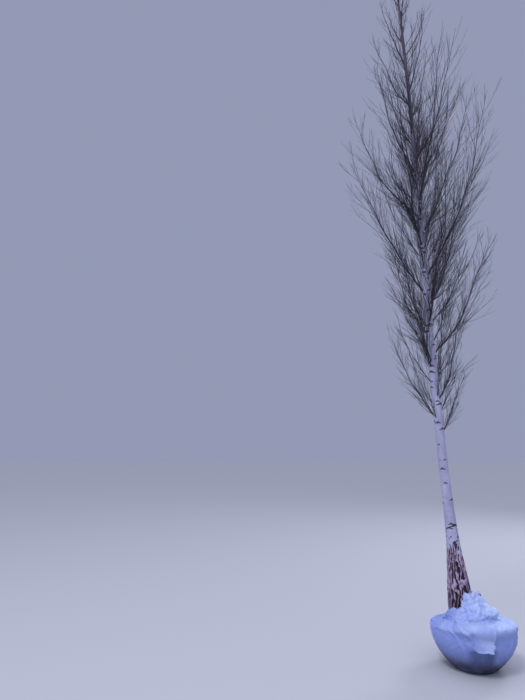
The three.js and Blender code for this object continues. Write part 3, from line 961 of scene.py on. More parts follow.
fine_relief = np.zeros(len(trunk_z))
fine_relief[rows_of_foot] = rough_foot * noise_at(foot_points, (110, 110, 30), 3)
print("furrows cover", round(float((furrow > 0.4).sum() / rows_of_foot.sum()), 2), "of the foot")

# %% [markdown]
# ## Dark marks
# Where a branch leaves the trunk, the bark is pushed up into a dark mark whose two ends droop. Branches
# that fell off long ago leave the same mark on the bare stem. Each is a drooping bar with ragged edges
# on a low swelling, worked out on the unrolled bark as how far a point is outside of it. The few that
# show most in the picture have their real heights; the rest are dealt out.

# %% Where the marks are: their heights, bearings and half widths
MARK_WIDENS = 5.2
MARK_LEAST = 0.004
MARK_MOST = 1.1
MARK_LIFT = 0.004
OLD_MARKS = 26
OLD_MARK_LOW = 0.86
OLD_MARK_HIGH = 2.3
OLD_MARK_SCATTER = 30
OLD_MARK_SIZES = (0.010, 0.026)
# Height and half width of those that face the camera
FACING_MARKS = (
    (0.975, 0.036),
    (0.955, 0.026),
    (0.865, 0.012),
    (1.37, 0.022),
    (1.66, 0.026),
    (2.44, 0.026),
)
FACING_BEARING = math.radians(-96)
FACING_SPREAD = 0.5

marks = []
for branch in branches:
    if branch.get("node") != "leader_twigs":
        foot_z = branch["start"][2]
        half_width = MARK_WIDENS * branch["foot_radius"] + MARK_LEAST
        half_width = min(half_width, MARK_MOST * float(shaft_radius(foot_z)))
        marks.append((foot_z + MARK_LIFT, branch["bearing"], half_width))
mark_dice = Dice(SEED + 11)
for index in range(OLD_MARKS):
    height = OLD_MARK_LOW + (OLD_MARK_HIGH - OLD_MARK_LOW) * (index + mark_dice.roll()) / OLD_MARKS
    turn = math.radians(GOLDEN_ANGLE * index + mark_dice.between(-OLD_MARK_SCATTER, OLD_MARK_SCATTER))
    marks.append((height, turn, mark_dice.between(*OLD_MARK_SIZES)))
for number, (height, half_width) in enumerate(FACING_MARKS):
    marks.append((height, FACING_BEARING + FACING_SPREAD * (-1) ** number, half_width))
print(len(marks), "dark marks")

# %% Dark marks on the points of the trunk
MARK_TOP = 0.10
MARK_DROOP = 0.62
MARK_THINNEST = 0.004
MARK_THICKENS = 0.42
MARK_RAGGED = 0.0022
MARK_SOFT = 0.0022
SWELLING_REACH = 0.75
SWELLING_HEIGHT = 0.11
SWELLING_TALLER = 0.8
PATCH_SHARES = (0.30, 0.40)
PATCHES_START = (0.72, 0.82)
PATCHES_TOP = 0.99
PATCHES_FADE = 0.05

ragged = noise_at(straight, (170, 170, 170), 2)
dark = np.zeros(len(trunk_z))
swelling = np.zeros(len(trunk_z))
for height, turn, half_width in marks:
    near = np.abs(trunk_z - height) < 3 * half_width
    dx = np.abs(half_turn(trunk_bearing[near] - turn) * trunk_radius[near])
    dz = trunk_z[near] - height
    top = MARK_TOP * half_width - MARK_DROOP * dx
    thick = MARK_THINNEST + MARK_THICKENS * half_width * np.clip(1 - dx / half_width, 0, 1)
    middle = top - thick / 2
    off = np.maximum(np.abs(dz - middle) - thick / 2, dx - half_width)
    off += MARK_RAGGED * ragged[near]
    dark[near] = np.maximum(dark[near], 1 - smooth(off, -MARK_SOFT, MARK_SOFT))
    hump = np.exp(-(dx**2 + (dz * SWELLING_TALLER) ** 2) / (SWELLING_REACH * half_width) ** 2)
    swelling[near] = np.maximum(swelling[near], hump * SWELLING_HEIGHT * half_width)

# Above the furrows the white bark has small dark patches too
patch = noise_at(straight + 3.1, (48, 48, 36), 3)
patched = smooth(PATCHES_TOP - trunk_z, 0, PATCHES_FADE) * smooth(trunk_z, *PATCHES_START)
dark = np.maximum(dark, smooth(patch, *PATCH_SHARES) * patched)
print("they cover", round(float((dark > 0.5).mean()), 2), "of the trunk's points")

# %% [markdown]
# ## The trunk as one closed mesh
# All the relief is one sum: each point of the grid moves straight out of the trunk by it. Blender's
# displacement modifier could do the same from an image, but arrays need no image and no unwrapping. The
# grid is closed by a fan of triangles at each end.

# %% The trunk as one closed mesh
UNEVEN_DEPTH = 0.0011
UNEVEN_FROM = (0.3, 1.2)
FULL_DEPTH_FROM = (0.02, 0.07)
PLATE_HEIGHT = 0.0022
FINE_RELIEF_DEPTH = 0.0016
MARK_DEPTH = 0.0006
TIP_HEIGHT = 0.002

uneven = UNEVEN_DEPTH * noise_at(straight + 5.7, (14, 14, 5), 2) * smooth(trunk_z, *UNEVEN_FROM)
full_depth = smooth(trunk_radius, *FULL_DEPTH_FROM)
relief = PLATE_HEIGHT * rough - FURROW_DEPTH * furrow * full_depth + FINE_RELIEF_DEPTH * fine_relief
relief += uneven + swelling - MARK_DEPTH * dark
skin = trunk_centre(trunk_z)
skin[:, :2] += around * (trunk_radius + relief)[:, None]
tip_point = trunk_centre(TRUNK_TOP + TIP_HEIGHT)
foot_point = trunk_centre(SOIL_TOP + FOOT_GAP)
trunk_triangles = np.concatenate([
    grid_triangles(len(row_z), TRUNK_COLUMNS),
    fan((len(row_z) - 1) * TRUNK_COLUMNS, TRUNK_COLUMNS, len(skin), last_ring=True),
    fan(0, TRUNK_COLUMNS, len(skin) + 1, last_ring=False),
])
trunk_mesh = mesh_of("trunk_bark", np.concatenate([skin, [tip_point, foot_point]]), trunk_triangles)
ends = np.array([[0, 0, TRUNK_TOP], [0, 0, SOIL_TOP]])
add_values(trunk_mesh, "straight", np.concatenate([straight, ends]))
for name, values in (("furrow", furrow), ("rough", rough), ("dark", dark)):
    add_values(trunk_mesh, name, np.append(values, (0, 0)))
print("the relief is", round(float(np.ptp(relief)) * 1000, 1), "mm deep in all")

# %% [markdown]
# ## The colours of the trunk
# It is tempting to lay a picture of bark round the trunk. A picture has seams and no depth, so the
# colours are layers of noise, from the widest clouds to the finest dashes. They lie on straightened
# coordinates, as if the trunk stood upright, so that no pattern bends or breaks with the lean.

# %% The colours of the trunk
SHADED_WHITE = (0.33, 0.33, 0.49)
BRIGHT_WHITE = (0.50, 0.49, 0.68)
GREY_BAND = (0.29, 0.27, 0.39)
PINK_WHITE = (0.47, 0.40, 0.54)
YOUNG_BROWN = (0.050, 0.036, 0.060)
YOUNG_FROM = (3.2, 4.3)
DASH_BROWN = (0.135, 0.095, 0.105)
DARK_PLATE = (0.15, 0.075, 0.135)
PALE_PLATE = (0.50, 0.39, 0.56)
REDDISH_PLATE = (0.13, 0.065, 0.11)
FURROW_BLACK = (0.016, 0.006, 0.018)
MARK_BLACK = (0.050, 0.036, 0.042)


def birch_bark():
    bark = Finish("birch_bark", (0.75, 0.71, 0.75), 0.62, 0.4)
    place = bark.attribute("straight", "Vector")
    height = bark.node("SeparateXYZ", {0: place}).outputs["Z"]
    clouds = bark.noise(bark.stretched(place, (1, 1, 0.6)), 11.0)
    colour = bark.mix(bark.between(clouds, 0.3, 0.7), SHADED_WHITE, BRIGHT_WHITE)
    bands = bark.noise(bark.stretched(place, (1, 1, 14)), 9.0, 5.0, 0.6)
    colour = bark.mix(bark.between(bands, 0.52, 0.72, 0.0, 0.55), colour, GREY_BAND)
    pinkish = bark.noise(bark.stretched(place, (1, 1, 3)), 5.0, 2.0)
    colour = bark.mix(bark.between(pinkish, 0.5, 0.75, 0.0, 0.4), colour, PINK_WHITE)
    colour = bark.mix(bark.between(height, *YOUNG_FROM, 0.0, 0.93), colour, YOUNG_BROWN)

    # Short dark dashes across the stem, in two sizes
    dash = bark.cells(bark.stretched(place, (1, 1, 7)), 34.0)
    dash_edge = bark.between(dash, 0.13, 0.19, 1.0, 0.0)
    fine_dash = bark.cells(bark.stretched(place, (1, 1, 8)), 88.0)
    fine_edge = bark.between(fine_dash, 0.11, 0.18, 0.75, 0.0)
    dashes = bark.math("MAXIMUM", dash_edge, fine_edge)
    colour = bark.mix(dashes, colour, DASH_BROWN)

    # The rough foot: pale pinkish plates between nearly black furrows, redder near the ground
    ridge_noise = bark.noise(bark.stretched(place, (1, 1, 0.4)), 85.0)
    plate = bark.mix(bark.between(ridge_noise, 0.36, 0.58), DARK_PLATE, PALE_PLATE)
    plate = bark.mix(bark.between(height, 0.40, 0.58, 0.55, 0.0), plate, REDDISH_PLATE)
    colour = bark.mix(bark.between(bark.attribute("rough"), 0.25, 0.75), colour, plate)
    colour = bark.mix(bark.between(bark.attribute("furrow"), 0.18, 0.62), colour, FURROW_BLACK)

    # The marks, with an edge that is more ragged than the mesh can be
    ragged_edge = bark.noise(place, 240.0, 3.0)
    mark = bark.math("MULTIPLY_ADD", bark.math("SUBTRACT", ragged_edge, 0.5), 0.5, bark.attribute("dark"))
    colour = bark.mix(bark.between(mark, 0.4, 0.62), colour, MARK_BLACK)

    fine = bark.noise(bark.stretched(place, (1, 1, 4)), 130.0, 5.0)
    relief = bark.bump(fine, 0.0009)
    relief = bark.bump(dashes, 0.0006, relief)
    roughness = bark.between(clouds, 0.3, 0.7, 0.52, 0.72)
    return bark.finish(colour, roughness, relief)


place_piece(trunk_mesh, ["trunk"], [birch_bark()])

# %% [markdown]
# ## The sack
# The root ball is wrapped in a white sack of woven plastic tape: taut over the soil, gathered into a
# throat round the trunk, with loose crumpled cloth standing up on one side. A cloth simulation could
# find the folds by itself, but the wrapping was pulled tight by hand and its folds are few and large,
# so they are modelled: the same outline as the solid, then pleats, creases and crumples pushed out of
# the surface.

# %% The ball's outline, as in the solids
BALL_RADIUS = 0.280
BALL_WAIST = 0.246
BALL_BELOW = 0.311
BALL_ABOVE = 0.080
POWER_BELOW = 1.6
POWER_ABOVE = 4
MOUND_HEIGHT = 0.010
MOUND_POWER = 3
BALL_UNEVEN = 0.025
WIDEST_AT = math.radians(-23)
BALL_SHIFT_X = -0.001
BALL_SHIFT_Y = 0.030
SACK_WALL = 0.005
THROAT_RADIUS = 0.112
THROAT_X = FOOT_X - 0.006
SHIFT_POWER = 4
CROWDS_TO_THROAT = 1.35


def ball_outline(inset, rows):
    """Radius and height from the edge of the flat underside up to the throat."""
    widest, below, above = BALL_RADIUS - inset, BALL_BELOW - inset, BALL_ABOVE - inset
    foot = -math.asin(((BALL_WAIST - inset) / below) ** (POWER_BELOW / 2))
    throat = math.acos(((THROAT_RADIUS - inset) / widest) ** (POWER_ABOVE / 2))
    angle = throat + (foot - throat) * np.linspace(1, 0, rows) ** CROWDS_TO_THROAT
    power = np.where(angle < 0, POWER_BELOW, POWER_ABOVE)
    from_waist = np.where(angle < 0, -below, above) * np.abs(np.sin(angle)) ** (2 / power)
    radius = widest * np.cos(angle) ** (2 / power)
    inwards = np.where(angle < 0, 0, (widest - radius) / (BALL_RADIUS - THROAT_RADIUS))
    return np.stack([radius, BALL_WAIST + from_waist + MOUND_HEIGHT * inwards**MOUND_POWER], -1)


THROAT_HEIGHT = float(ball_outline(0, 2)[-1, 1])


def mound_share(z):
    """How far up the mound a height is: 0 at the ball's waist and 1 at the throat."""
    return np.clip((z - BALL_WAIST) / (THROAT_HEIGHT - BALL_WAIST), 0, 1)


print("the throat is", round(THROAT_HEIGHT, 3), "m above the ground")

# %% The same shaping as in the solids: uneven, pleated, heaped up beside the trunk
COLLAR_OPENS = 0.006
COLLAR_CURLS = 1.3
COLLAR_LOW = 0.010
COLLAR_HIGH = 0.152
COLLAR_PEAK = math.radians(-69)
COLLAR_PEAK_POWER = 4.8
HEAP_WIDTH = 0.140
HEAP_LIFT = 0.070
HEAP_BEARING = math.radians(-38)
HEAP_ROUND_POWER = 2
HEAP_UP_POWER = 7
PLEATS = 9
PLEAT_DEPTH = 0.075
PLEAT_POWER = 3
PLEAT_OPENS = 0.5


def towards(turn, peak, power):
    """A bearing's share of what is largest on one side and nothing on the other."""
    return (0.5 + 0.5 * np.cos(turn - peak)) ** power


def shape_cloth(radius, z, turn, heap):
    """Places points of the outline round the ball; heap is 1 for the cloth and 0 for the soil."""
    share = mound_share(z)
    up = np.maximum(0, (z - THROAT_HEIGHT) / COLLAR_LOW)
    heaped = heap * share**HEAP_UP_POWER * towards(turn, HEAP_BEARING, HEAP_ROUND_POWER)
    bulge = 1 + BALL_UNEVEN * (1 - share) * np.cos(2 * (turn - WIDEST_AT))
    depth = PLEAT_DEPTH * (share**PLEAT_POWER + PLEAT_OPENS * up)
    wide = radius * bulge * (1 + depth * np.cos(PLEATS * turn)) + HEAP_WIDTH * heaped * (1 - up)
    to_throat = share**SHIFT_POWER
    x = BALL_SHIFT_X + (THROAT_X - BALL_SHIFT_X) * to_throat + wide * np.cos(turn)
    y = BALL_SHIFT_Y * (1 - to_throat) + wide * np.sin(turn)
    rise = (COLLAR_HIGH - COLLAR_LOW) * up * towards(turn, COLLAR_PEAK, COLLAR_PEAK_POWER)
    return np.stack([x, y, z + HEAP_LIFT * heaped + rise], -1)


# %% [markdown]
# ## How the loose cloth hangs
# The solid's outline is right for cloth that is pulled tight over the soil. The loose cloth does more:
# it hangs over the front, lies flat on the right shoulder, is tucked in under the heap, and has slumped
# at the back left, where the soil has sunk. The outline could be redrawn for every bearing, but a few
# soft bulges that fade out round the ball and up the mound say the same with a handful of sizes.

# %% How the loose cloth hangs
DRAPE_WIDTH = 0.125
DRAPE_LIFT = 0.035
DRAPE_POWER = 2.6
DRAPE_BEARING = math.radians(-78)
DRAPE_ROUND_POWER = 3.5
TUCK_WIDTH = 0.095
TUCK_LIFT = 0.050
TUCK_POWER = 30
HEAP_NARROWS = 0.020
HEAP_TOP = 0.53
HEAP_ABOVE = 0.35
SHOULDER_WIDTH = 0.017
SHOULDER_LIFT = 0.011
SHOULDER_AT = 0.64
SHOULDER_BAND = 0.17
SHOULDER_BEARING = math.radians(-12)
SHOULDER_ROUND_POWER = 5


def hung(points, mound, turn):
    """The points moved out and up by each bulge; mound is how far up the mound they are."""
    front = (mound**DRAPE_POWER - mound**HEAP_UP_POWER) * towards(turn, DRAPE_BEARING, DRAPE_ROUND_POWER)
    right = towards(turn, SHOULDER_BEARING, SHOULDER_ROUND_POWER)
    tucked = (mound**HEAP_UP_POWER - mound**TUCK_POWER) * right
    flat = np.exp(-(((mound - SHOULDER_AT) / SHOULDER_BAND) ** 2)) * right
    out = DRAPE_WIDTH * front - TUCK_WIDTH * tucked + SHOULDER_WIDTH * flat
    out -= HEAP_NARROWS * mound**TUCK_POWER * right
    up = DRAPE_LIFT * front - TUCK_LIFT * tucked + SHOULDER_LIFT * flat
    moved = points + np.stack([out * np.cos(turn), out * np.sin(turn), up], -1)
    above = np.maximum(0, moved[:, 2] - HEAP_TOP)
    moved[:, 2] -= (1 - HEAP_ABOVE) * above
    return moved


# %% The slump at the back left
SLUMP = 0.048
SOIL_SLUMPS_MORE = 0.006
SLUMP_AT = 0.72
SLUMP_BAND = 0.22
SLUMP_BEARING = math.radians(130)
SLUMP_ROUND_POWER = 1.5


def slumped(points, mound, turn, depth=SLUMP):
    """The soil has sunk at the back left, and the cloth with it."""
    band = np.exp(-(((mound - SLUMP_AT) / SLUMP_BAND) ** 2))
    share = band * towards(turn, SLUMP_BEARING, SLUMP_ROUND_POWER)
    return points - depth * share[:, None] * UP


# %% The cloth as a fine grid
SACK_COLUMNS = 300
UNDER_ROWS = 8
SIDE_ROWS = 100
COLLAR_ROWS = 30
INNER_RING = 0.004

side_profile = ball_outline(0, SIDE_ROWS)
under_radius = np.linspace(INNER_RING, side_profile[0, 0], UNDER_ROWS, endpoint=False)
collar_share = np.linspace(0, 1, COLLAR_ROWS + 1)[1:]
collar_radius = THROAT_RADIUS + COLLAR_OPENS * collar_share**COLLAR_CURLS
profile = np.concatenate([
    np.stack([under_radius, np.zeros(UNDER_ROWS)], -1),
    side_profile,
    np.stack([collar_radius, THROAT_HEIGHT + COLLAR_LOW * collar_share], -1),
])
run_up = np.concatenate([[0], np.cumsum(np.linalg.norm(np.diff(profile, axis=0), axis=1))])
throat_run = float(run_up[UNDER_ROWS + SIDE_ROWS - 1])
turn = 2 * np.pi * np.arange(SACK_COLUMNS) / SACK_COLUMNS
row_of, turn_of = every_pair(np.arange(len(profile)), turn)
print("the cloth has", len(row_of), "points")

# %% [markdown]
# ## The mouth of the sack
# The mouth was torn open and crumpled together by hand. On the high side the cloth stands up in a ragged
# edge, on the low side it rolls over outwards, and two places of its rim are drawn up: in front of the
# trunk and to the left of it. An edge could be drawn point by point; here noise shortens the cloth
# unevenly, and the roll is an arc that grows with the height in the collar.

# %% The mouth's edge is torn and uneven, and rolled over where it is low
JAG_DEPTH = 0.30
JAG_LEVEL = 0.35
JAG_SHARES = (0.6, 0.5)
HIGH_SIDE_STARTS = (0.02, 0.2)
ROLL_RADIUS = 0.006
ROLL_ANGLE = 2.7
ROLL_UNEVEN = 0.5
PULLED_IN = 0.014
PULL_POWER = 8
PULL_ENDS = (0.15, 0.6)
RIM_RISE = 0.024
RIM_BEARING = math.radians(-86)
RIM_ROUND_POWER = 40
LEFT_RIM_RISE = 0.056
LEFT_RIM_BEARING = math.radians(-148)
LEFT_RIM_ROUND_POWER = 30

round_place = np.stack([np.cos(turn_of), np.sin(turn_of), np.zeros(len(turn_of))], -1)
jag = JAG_SHARES[0] * noise_at(round_place, 4.0, 2)
jag += JAG_SHARES[1] * (1 - 2 * np.abs(noise_at(round_place + 9.0, 13.0, 2)))
profile_z = profile[row_of, 1]
up_collar = np.clip((profile_z - THROAT_HEIGHT) / COLLAR_LOW, 0, 1)
near_peak = towards(turn_of, COLLAR_PEAK, COLLAR_PEAK_POWER)
shorter = 1 + JAG_DEPTH * (jag - JAG_LEVEL) * up_collar
cloth_z = np.where(up_collar > 0, THROAT_HEIGHT + COLLAR_LOW * up_collar * shorter, profile_z)
cloth = shape_cloth(profile[row_of, 0], cloth_z, turn_of, 1.0)
low_side = 1 - smooth(near_peak, *HIGH_SIDE_STARTS)
roll = ROLL_ANGLE * up_collar
rolled_out = low_side * ROLL_RADIUS * (1 - np.cos(roll)) * (1 + ROLL_UNEVEN * jag)
on_mound = mound_share(profile_z)
pulled_in = PULLED_IN * on_mound**PULL_POWER * (1 - smooth(near_peak, *PULL_ENDS))
push = rolled_out - pulled_in
cloth[:, 0] += np.cos(turn_of) * push
cloth[:, 1] += np.sin(turn_of) * push
cloth[:, 2] += low_side * (ROLL_RADIUS * np.sin(roll) - COLLAR_LOW * up_collar)
cloth[:, 2] += RIM_RISE * up_collar * towards(turn_of, RIM_BEARING, RIM_ROUND_POWER)
cloth[:, 2] += LEFT_RIM_RISE * up_collar * towards(turn_of, LEFT_RIM_BEARING, LEFT_RIM_ROUND_POWER)
cloth = slumped(hung(cloth, on_mound, turn_of), on_mound, turn_of)

# %% [markdown]
# ## Gathers and creases
# Stiff woven plastic doesn't fall in soft waves: it breaks into sharp ridges with a hollow beside them.
# Short ones fan out from the throat, where the cloth was drawn together, and a few long ones run across
# the ball. Each could be a strip of its own, but as a height that is added along the surface one small
# formula makes them all, and they can cross.

# %% Which way is outward at every point
def outward_of(points, rows, columns, closed=True):
    grid = points.reshape(rows, columns, 3)
    along = np.gradient(grid, axis=0)
    around = np.roll(grid, -1, axis=1) - np.roll(grid, 1, axis=1) if closed else np.gradient(grid, axis=1)
    return unit(np.cross(around, along)).reshape(-1, 3)


outward = outward_of(cloth, len(profile), SACK_COLUMNS)
arm = np.hypot(cloth[:, 0] - THROAT_X, cloth[:, 1])

# %% Gathers: sharp ridges that fan out from the throat
GATHERS = 46
GATHER_REACH = (0.06, 0.25)
GATHER_WIDTH = (0.005, 0.011)
GATHER_DEPTH = (0.002, 0.0065)
GATHER_DRIFT = 0.4
GATHER_SCATTER = 0.8
GATHER_WIDENS = 1.4
GATHER_DRIFT_POWER = 1.5
GATHER_FADES = (0.3, 1.0)
CREST_POWER = 1.3
HOLLOW_AT = 1.7
HOLLOW_SHARE = 0.6

gather_dice = Dice(SEED + 21)
below_throat = throat_run - run_up[row_of]
folds = np.zeros(len(cloth))


def ridge_at(off, width):
    """A crease of stiff cloth: a sharp crest with a softer hollow along one side."""
    crest = np.maximum(0, 1 - np.abs(off) / width)
    hollow = np.maximum(0, 1 - np.abs(off - HOLLOW_AT * width) / width)
    return crest**CREST_POWER - HOLLOW_SHARE * hollow


for index in range(GATHERS):
    start = 2 * np.pi * (index + GATHER_SCATTER * gather_dice.roll()) / GATHERS
    reach = gather_dice.between(*GATHER_REACH)
    width = gather_dice.between(*GATHER_WIDTH)
    depth = gather_dice.between(*GATHER_DEPTH)
    drift = gather_dice.between(-GATHER_DRIFT, GATHER_DRIFT)
    down = np.clip(below_throat / reach, 0, 1)
    off = half_turn(turn_of - start - drift * down**GATHER_DRIFT_POWER) * arm
    ridge = ridge_at(off, width * (1 + GATHER_WIDENS * down))
    folds += depth * ridge * (1 - smooth(down, *GATHER_FADES))
print("gathers reach", round(float(folds.max()) * 1000, 1), "mm")

# %% Long creases across the ball
# Bearing in degrees and height of the one end, then of the other, then depth and width
CREASES = (
    (-128, 0.340, -98, 0.215, 0.0075, 0.016),
    (-118, 0.300, -92, 0.130, 0.0055, 0.013),
    (-142, 0.330, -120, 0.120, 0.0070, 0.015),
    (-70, 0.150, -48, 0.040, 0.0050, 0.012),
    (-46, 0.335, -58, 0.110, 0.0080, 0.017),
    (-30, 0.320, -38, 0.130, 0.0060, 0.013),
    (-12, 0.330, -20, 0.080, 0.0070, 0.015),
    (14, 0.320, 4, 0.100, 0.0060, 0.014),
    (52, 0.330, 40, 0.080, 0.0080, 0.016),
    (95, 0.320, 112, 0.090, 0.0080, 0.016),
    (140, 0.330, 132, 0.120, 0.0070, 0.014),
    (172, 0.320, 186, 0.080, 0.0080, 0.015),
)
CREASE_SWAY = 0.008
CREASE_WAVES = 4.5
CREASE_STARTS = (0, 0.25)
CREASE_ENDS = (0.65, 1.0)


def crease(from_turn, from_z, to_turn, to_z, depth, width):
    """One crease, laid out on the ball's side as if that were unrolled."""
    centre = math.radians((from_turn + to_turn) / 2)
    arc = half_turn(turn_of - centre) * BALL_RADIUS
    start = np.array([math.radians(from_turn) - centre, from_z]) * (BALL_RADIUS, 1)
    end = np.array([math.radians(to_turn) - centre, to_z]) * (BALL_RADIUS, 1)
    way = end - start
    length = np.linalg.norm(way)
    way = way / length
    away = np.stack([arc, profile_z], -1) - start
    run = away @ way / length
    off = away @ np.array([-way[1], way[0]]) + CREASE_SWAY * np.sin(CREASE_WAVES * run + from_turn)
    ends = smooth(run, *CREASE_STARTS) * (1 - smooth(run, *CREASE_ENDS))
    return depth * ends * ridge_at(off, width)


for numbers in CREASES:
    folds += crease(*numbers)
print(len(CREASES), "long creases")

# %% [markdown]
# ## Room for the flap
# A flap of the sack's mouth hangs over the front, from the heap down to a hem a little above the middle
# of the ball. It will be a sheet of its own. What lies under it was pressed flat by it, so the folds are
# nearly taken out there before the flap is laid on.

# %% Where the flap will lie: its edges as bearings, from its hem up to the heap
FLAP_HEM = 0.198
FLAP_LEFT = math.radians(-113)
FLAP_RIGHT = math.radians(-83.5)
FLAP_RIGHT_MOVES = math.radians(48)
FLAP_TOP = 0.7
FLAP_FLATTENS = 0.85
LEFT_MARGIN = 0.2
RIGHT_MARGIN = 0.1
HEM_MARGIN = 0.08

side_rows = slice(UNDER_ROWS, UNDER_ROWS + SIDE_ROWS)
hem_run = float(np.interp(FLAP_HEM, profile[side_rows, 1], run_up[side_rows]))
top_run = float(throat_run + FLAP_TOP * (run_up[-1] - throat_run))


def flap_right(share):
    return FLAP_RIGHT + FLAP_RIGHT_MOVES * share**3


up_flap = (run_up[row_of] - hem_run) / (top_run - hem_run)
signed_turn = half_turn(turn_of)
inside_left = smooth(signed_turn, FLAP_LEFT, FLAP_LEFT + LEFT_MARGIN)
inside_right = smooth(flap_right(np.clip(up_flap, 0, 1)) - signed_turn, 0, RIGHT_MARGIN)
under_flap = inside_left * inside_right * smooth(up_flap, 0, HEM_MARGIN)
folds *= 1 - FLAP_FLATTENS * under_flap
print("the flap covers", round(float((under_flap > 0.5).mean()), 3), "of the cloth's points")

# %% [markdown]
# ## Crumples, dents, and the wet patch with the flap's painted shadow
# Cloth that has been handled is crumpled all over: finely on the ball, and like crushed paper in the
# heap. Plain noise would make the heap look like dough, so cell noise gives it dents with sharp crests
# between them. How tight the cloth is, and where it is stained and painted with the flap's shadow, is
# written on the points for the material.

# %% Sagging, crumples and the crushed heap
SAG_DEPTH = 0.006
SAG_AT = 0.11
SAG_BAND = 0.06
SAG_LEVEL = 0.4
CRUMPLE_DEPTH = 0.0030
FINE_CRUMPLE_DEPTH = 0.0014
HEAP_PLEATS = 15
HEAP_PLEAT_DEPTH = 0.006
HEAP_DENTS = 0.024
HEAP_FINE_DENTS = 0.013
DENT_WARP = 0.012
DENT_LEVEL = 0.45
HEAP_SIDE_POWER = 1.5
HEAP_STARTS = 0.12
PLEAT_BENDS = 1.5
PLEAT_LEVEL = 0.35
CRUMPLE_LEAST = 0.35


def dents(points, scale):
    """Dents with sharp crests between them, as in crushed foil: below 0 in a dent, above it on a crest."""
    warped = points + DENT_WARP * noise_at(points + 1.3, 22.0, 2)[:, None]
    return np.array([noise.voronoi(Vector(p))[0][0] for p in (warped * scale).tolist()]) - DENT_LEVEL


heap_share = towards(turn_of, HEAP_BEARING, HEAP_SIDE_POWER)
heap_share = heap_share * smooth(run_up[row_of], hem_run + HEAP_STARTS, top_run)
crumple = 1 - 2 * np.abs(noise_at(cloth, (24, 24, 18), 4))
fine_crumple = 1 - 2 * np.abs(noise_at(cloth + 4.4, (66, 66, 48), 3))
crush = HEAP_DENTS * dents(cloth, (17, 17, 12)) + HEAP_FINE_DENTS * dents(cloth + 2.2, (46, 46, 30))
pleat_phase = 0.5 * HEAP_PLEATS * turn_of + PLEAT_BENDS * noise_at(cloth + 1.7, (7, 7, 4), 2)
heap_pleat = PLEAT_LEVEL - np.abs(np.sin(pleat_phase))
soft = noise_at(cloth + 6.1, (5, 5, 3), 2)
sag = SAG_DEPTH * np.exp(-(((profile_z - SAG_AT) / SAG_BAND) ** 2)) * (SAG_LEVEL + soft)
on_ball = np.clip(profile_z / THROAT_HEIGHT, 0, 1)
crumpled_up = CRUMPLE_LEAST + on_ball**2
folds += sag + CRUMPLE_DEPTH * crumple * crumpled_up + FINE_CRUMPLE_DEPTH * fine_crumple
folds += heap_share * (crush + HEAP_PLEAT_DEPTH * heap_pleat)

# %% Where the cloth is stained and painted with the flap's shadow, and where it is taut
STAIN_AND_SHADOW_LEFT = (math.radians(-126), math.radians(-108))
STAIN_AND_SHADOW_RIGHT = (math.radians(-84), math.radians(-72))
STAIN_AND_SHADOW_TOP = (0.18, 0.215)
TAUT_BELOW = (0.25, 0.80)
LOOSE_BEARING = math.radians(-45)
LOOSE_ROUND_POWER = 1.5
LOOSE_LEAST = 0.15

# Under the flap's hem the cloth is painted darker: partly a real wet stain, partly painted shadow of the flap
stain_and_shadow_share = smooth(signed_turn, *STAIN_AND_SHADOW_LEFT) * (1 - smooth(signed_turn, *STAIN_AND_SHADOW_RIGHT))
stain_and_shadow_share *= 1 - smooth(profile_z, *STAIN_AND_SHADOW_TOP)
loose_side = LOOSE_LEAST + (1 - LOOSE_LEAST) * towards(turn_of, LOOSE_BEARING, LOOSE_ROUND_POWER)
taut = 1 - smooth(on_mound, *TAUT_BELOW) * loose_side
print("stained:", round(float(stain_and_shadow_share.mean()), 3), "and taut:", round(float(taut.mean()), 3), "of the points")

# %% Push the folds out of the cloth, but leave it flat where it stands
FLAT_BELOW = 0.03

folds *= smooth(profile_z, 0.0, FLAT_BELOW)
cloth = cloth + outward * folds[:, None]
cloth[:, 2] = np.maximum(cloth[:, 2], 0)
deepest, highest = [round(float(fold) * 1000, 1) for fold in (folds.min(), folds.max())]
print("folds reach from", deepest, "to", highest, "mm")

# %% [markdown]
# ## The flap
# The flap could be pulled out of the ball's own mesh, but its hem and its right edge hang free and throw
# a shadow. So it is a second sheet that follows the ball's shape: sunk a little into the cloth where the
# two are one, and lifted off it towards the hem. Fine upright ribs show its drawn tapes.

# %% The flap as a sheet of its own
FLAP_COLUMNS = 90
FLAP_ROWS = 110
HEM_WAVE = 0.010
SIDE_WAVE = 0.05

flap_up, flap_across = every_pair(np.linspace(0, 1, FLAP_ROWS), np.linspace(0, 1, FLAP_COLUMNS))
edge_place = np.stack([flap_across, flap_up, np.zeros(len(flap_up))], -1)
hem_wave = HEM_WAVE * noise_at(edge_place, (5, 0, 0), 2) * (1 - flap_up)
flap_run = hem_run + (top_run - hem_run) * flap_up + hem_wave
side_wave = SIDE_WAVE * noise_at(edge_place + 5.0, (0, 6, 0), 3)
flap_turn = FLAP_LEFT + (flap_right(flap_up) + side_wave - FLAP_LEFT) * flap_across
flap_radius = np.interp(flap_run, run_up, profile[:, 0])
flap_z = np.interp(flap_run, run_up, profile[:, 1])
flap = shape_cloth(flap_radius, flap_z, flap_turn, 1.0)
flap_mound = mound_share(flap_z)
flap = hung(flap, flap_mound, flap_turn)
flap_outward = outward_of(flap, FLAP_ROWS, FLAP_COLUMNS, closed=False)

# %% Lift the flap off the ball
FLAP_LIFT = 0.022
FLAP_SUNK = 0.005
HEM_CURL = 0.007
RIB_DEPTH = 0.0011
RIB_SPACING = 0.0085
FLAP_WAVE = 0.0035
FLAP_CRUMPLE = 0.0016
COMES_LOOSE = (0, 0.4)
LIES_DOWN = (0.55, 1.0)
LIFT_SHARES = (0.55, 0.45)
CURL_HEIGHT = 0.07
CURL_STARTS = (0.1, 0.5)
RIBS_START = (0.3, 0.5)

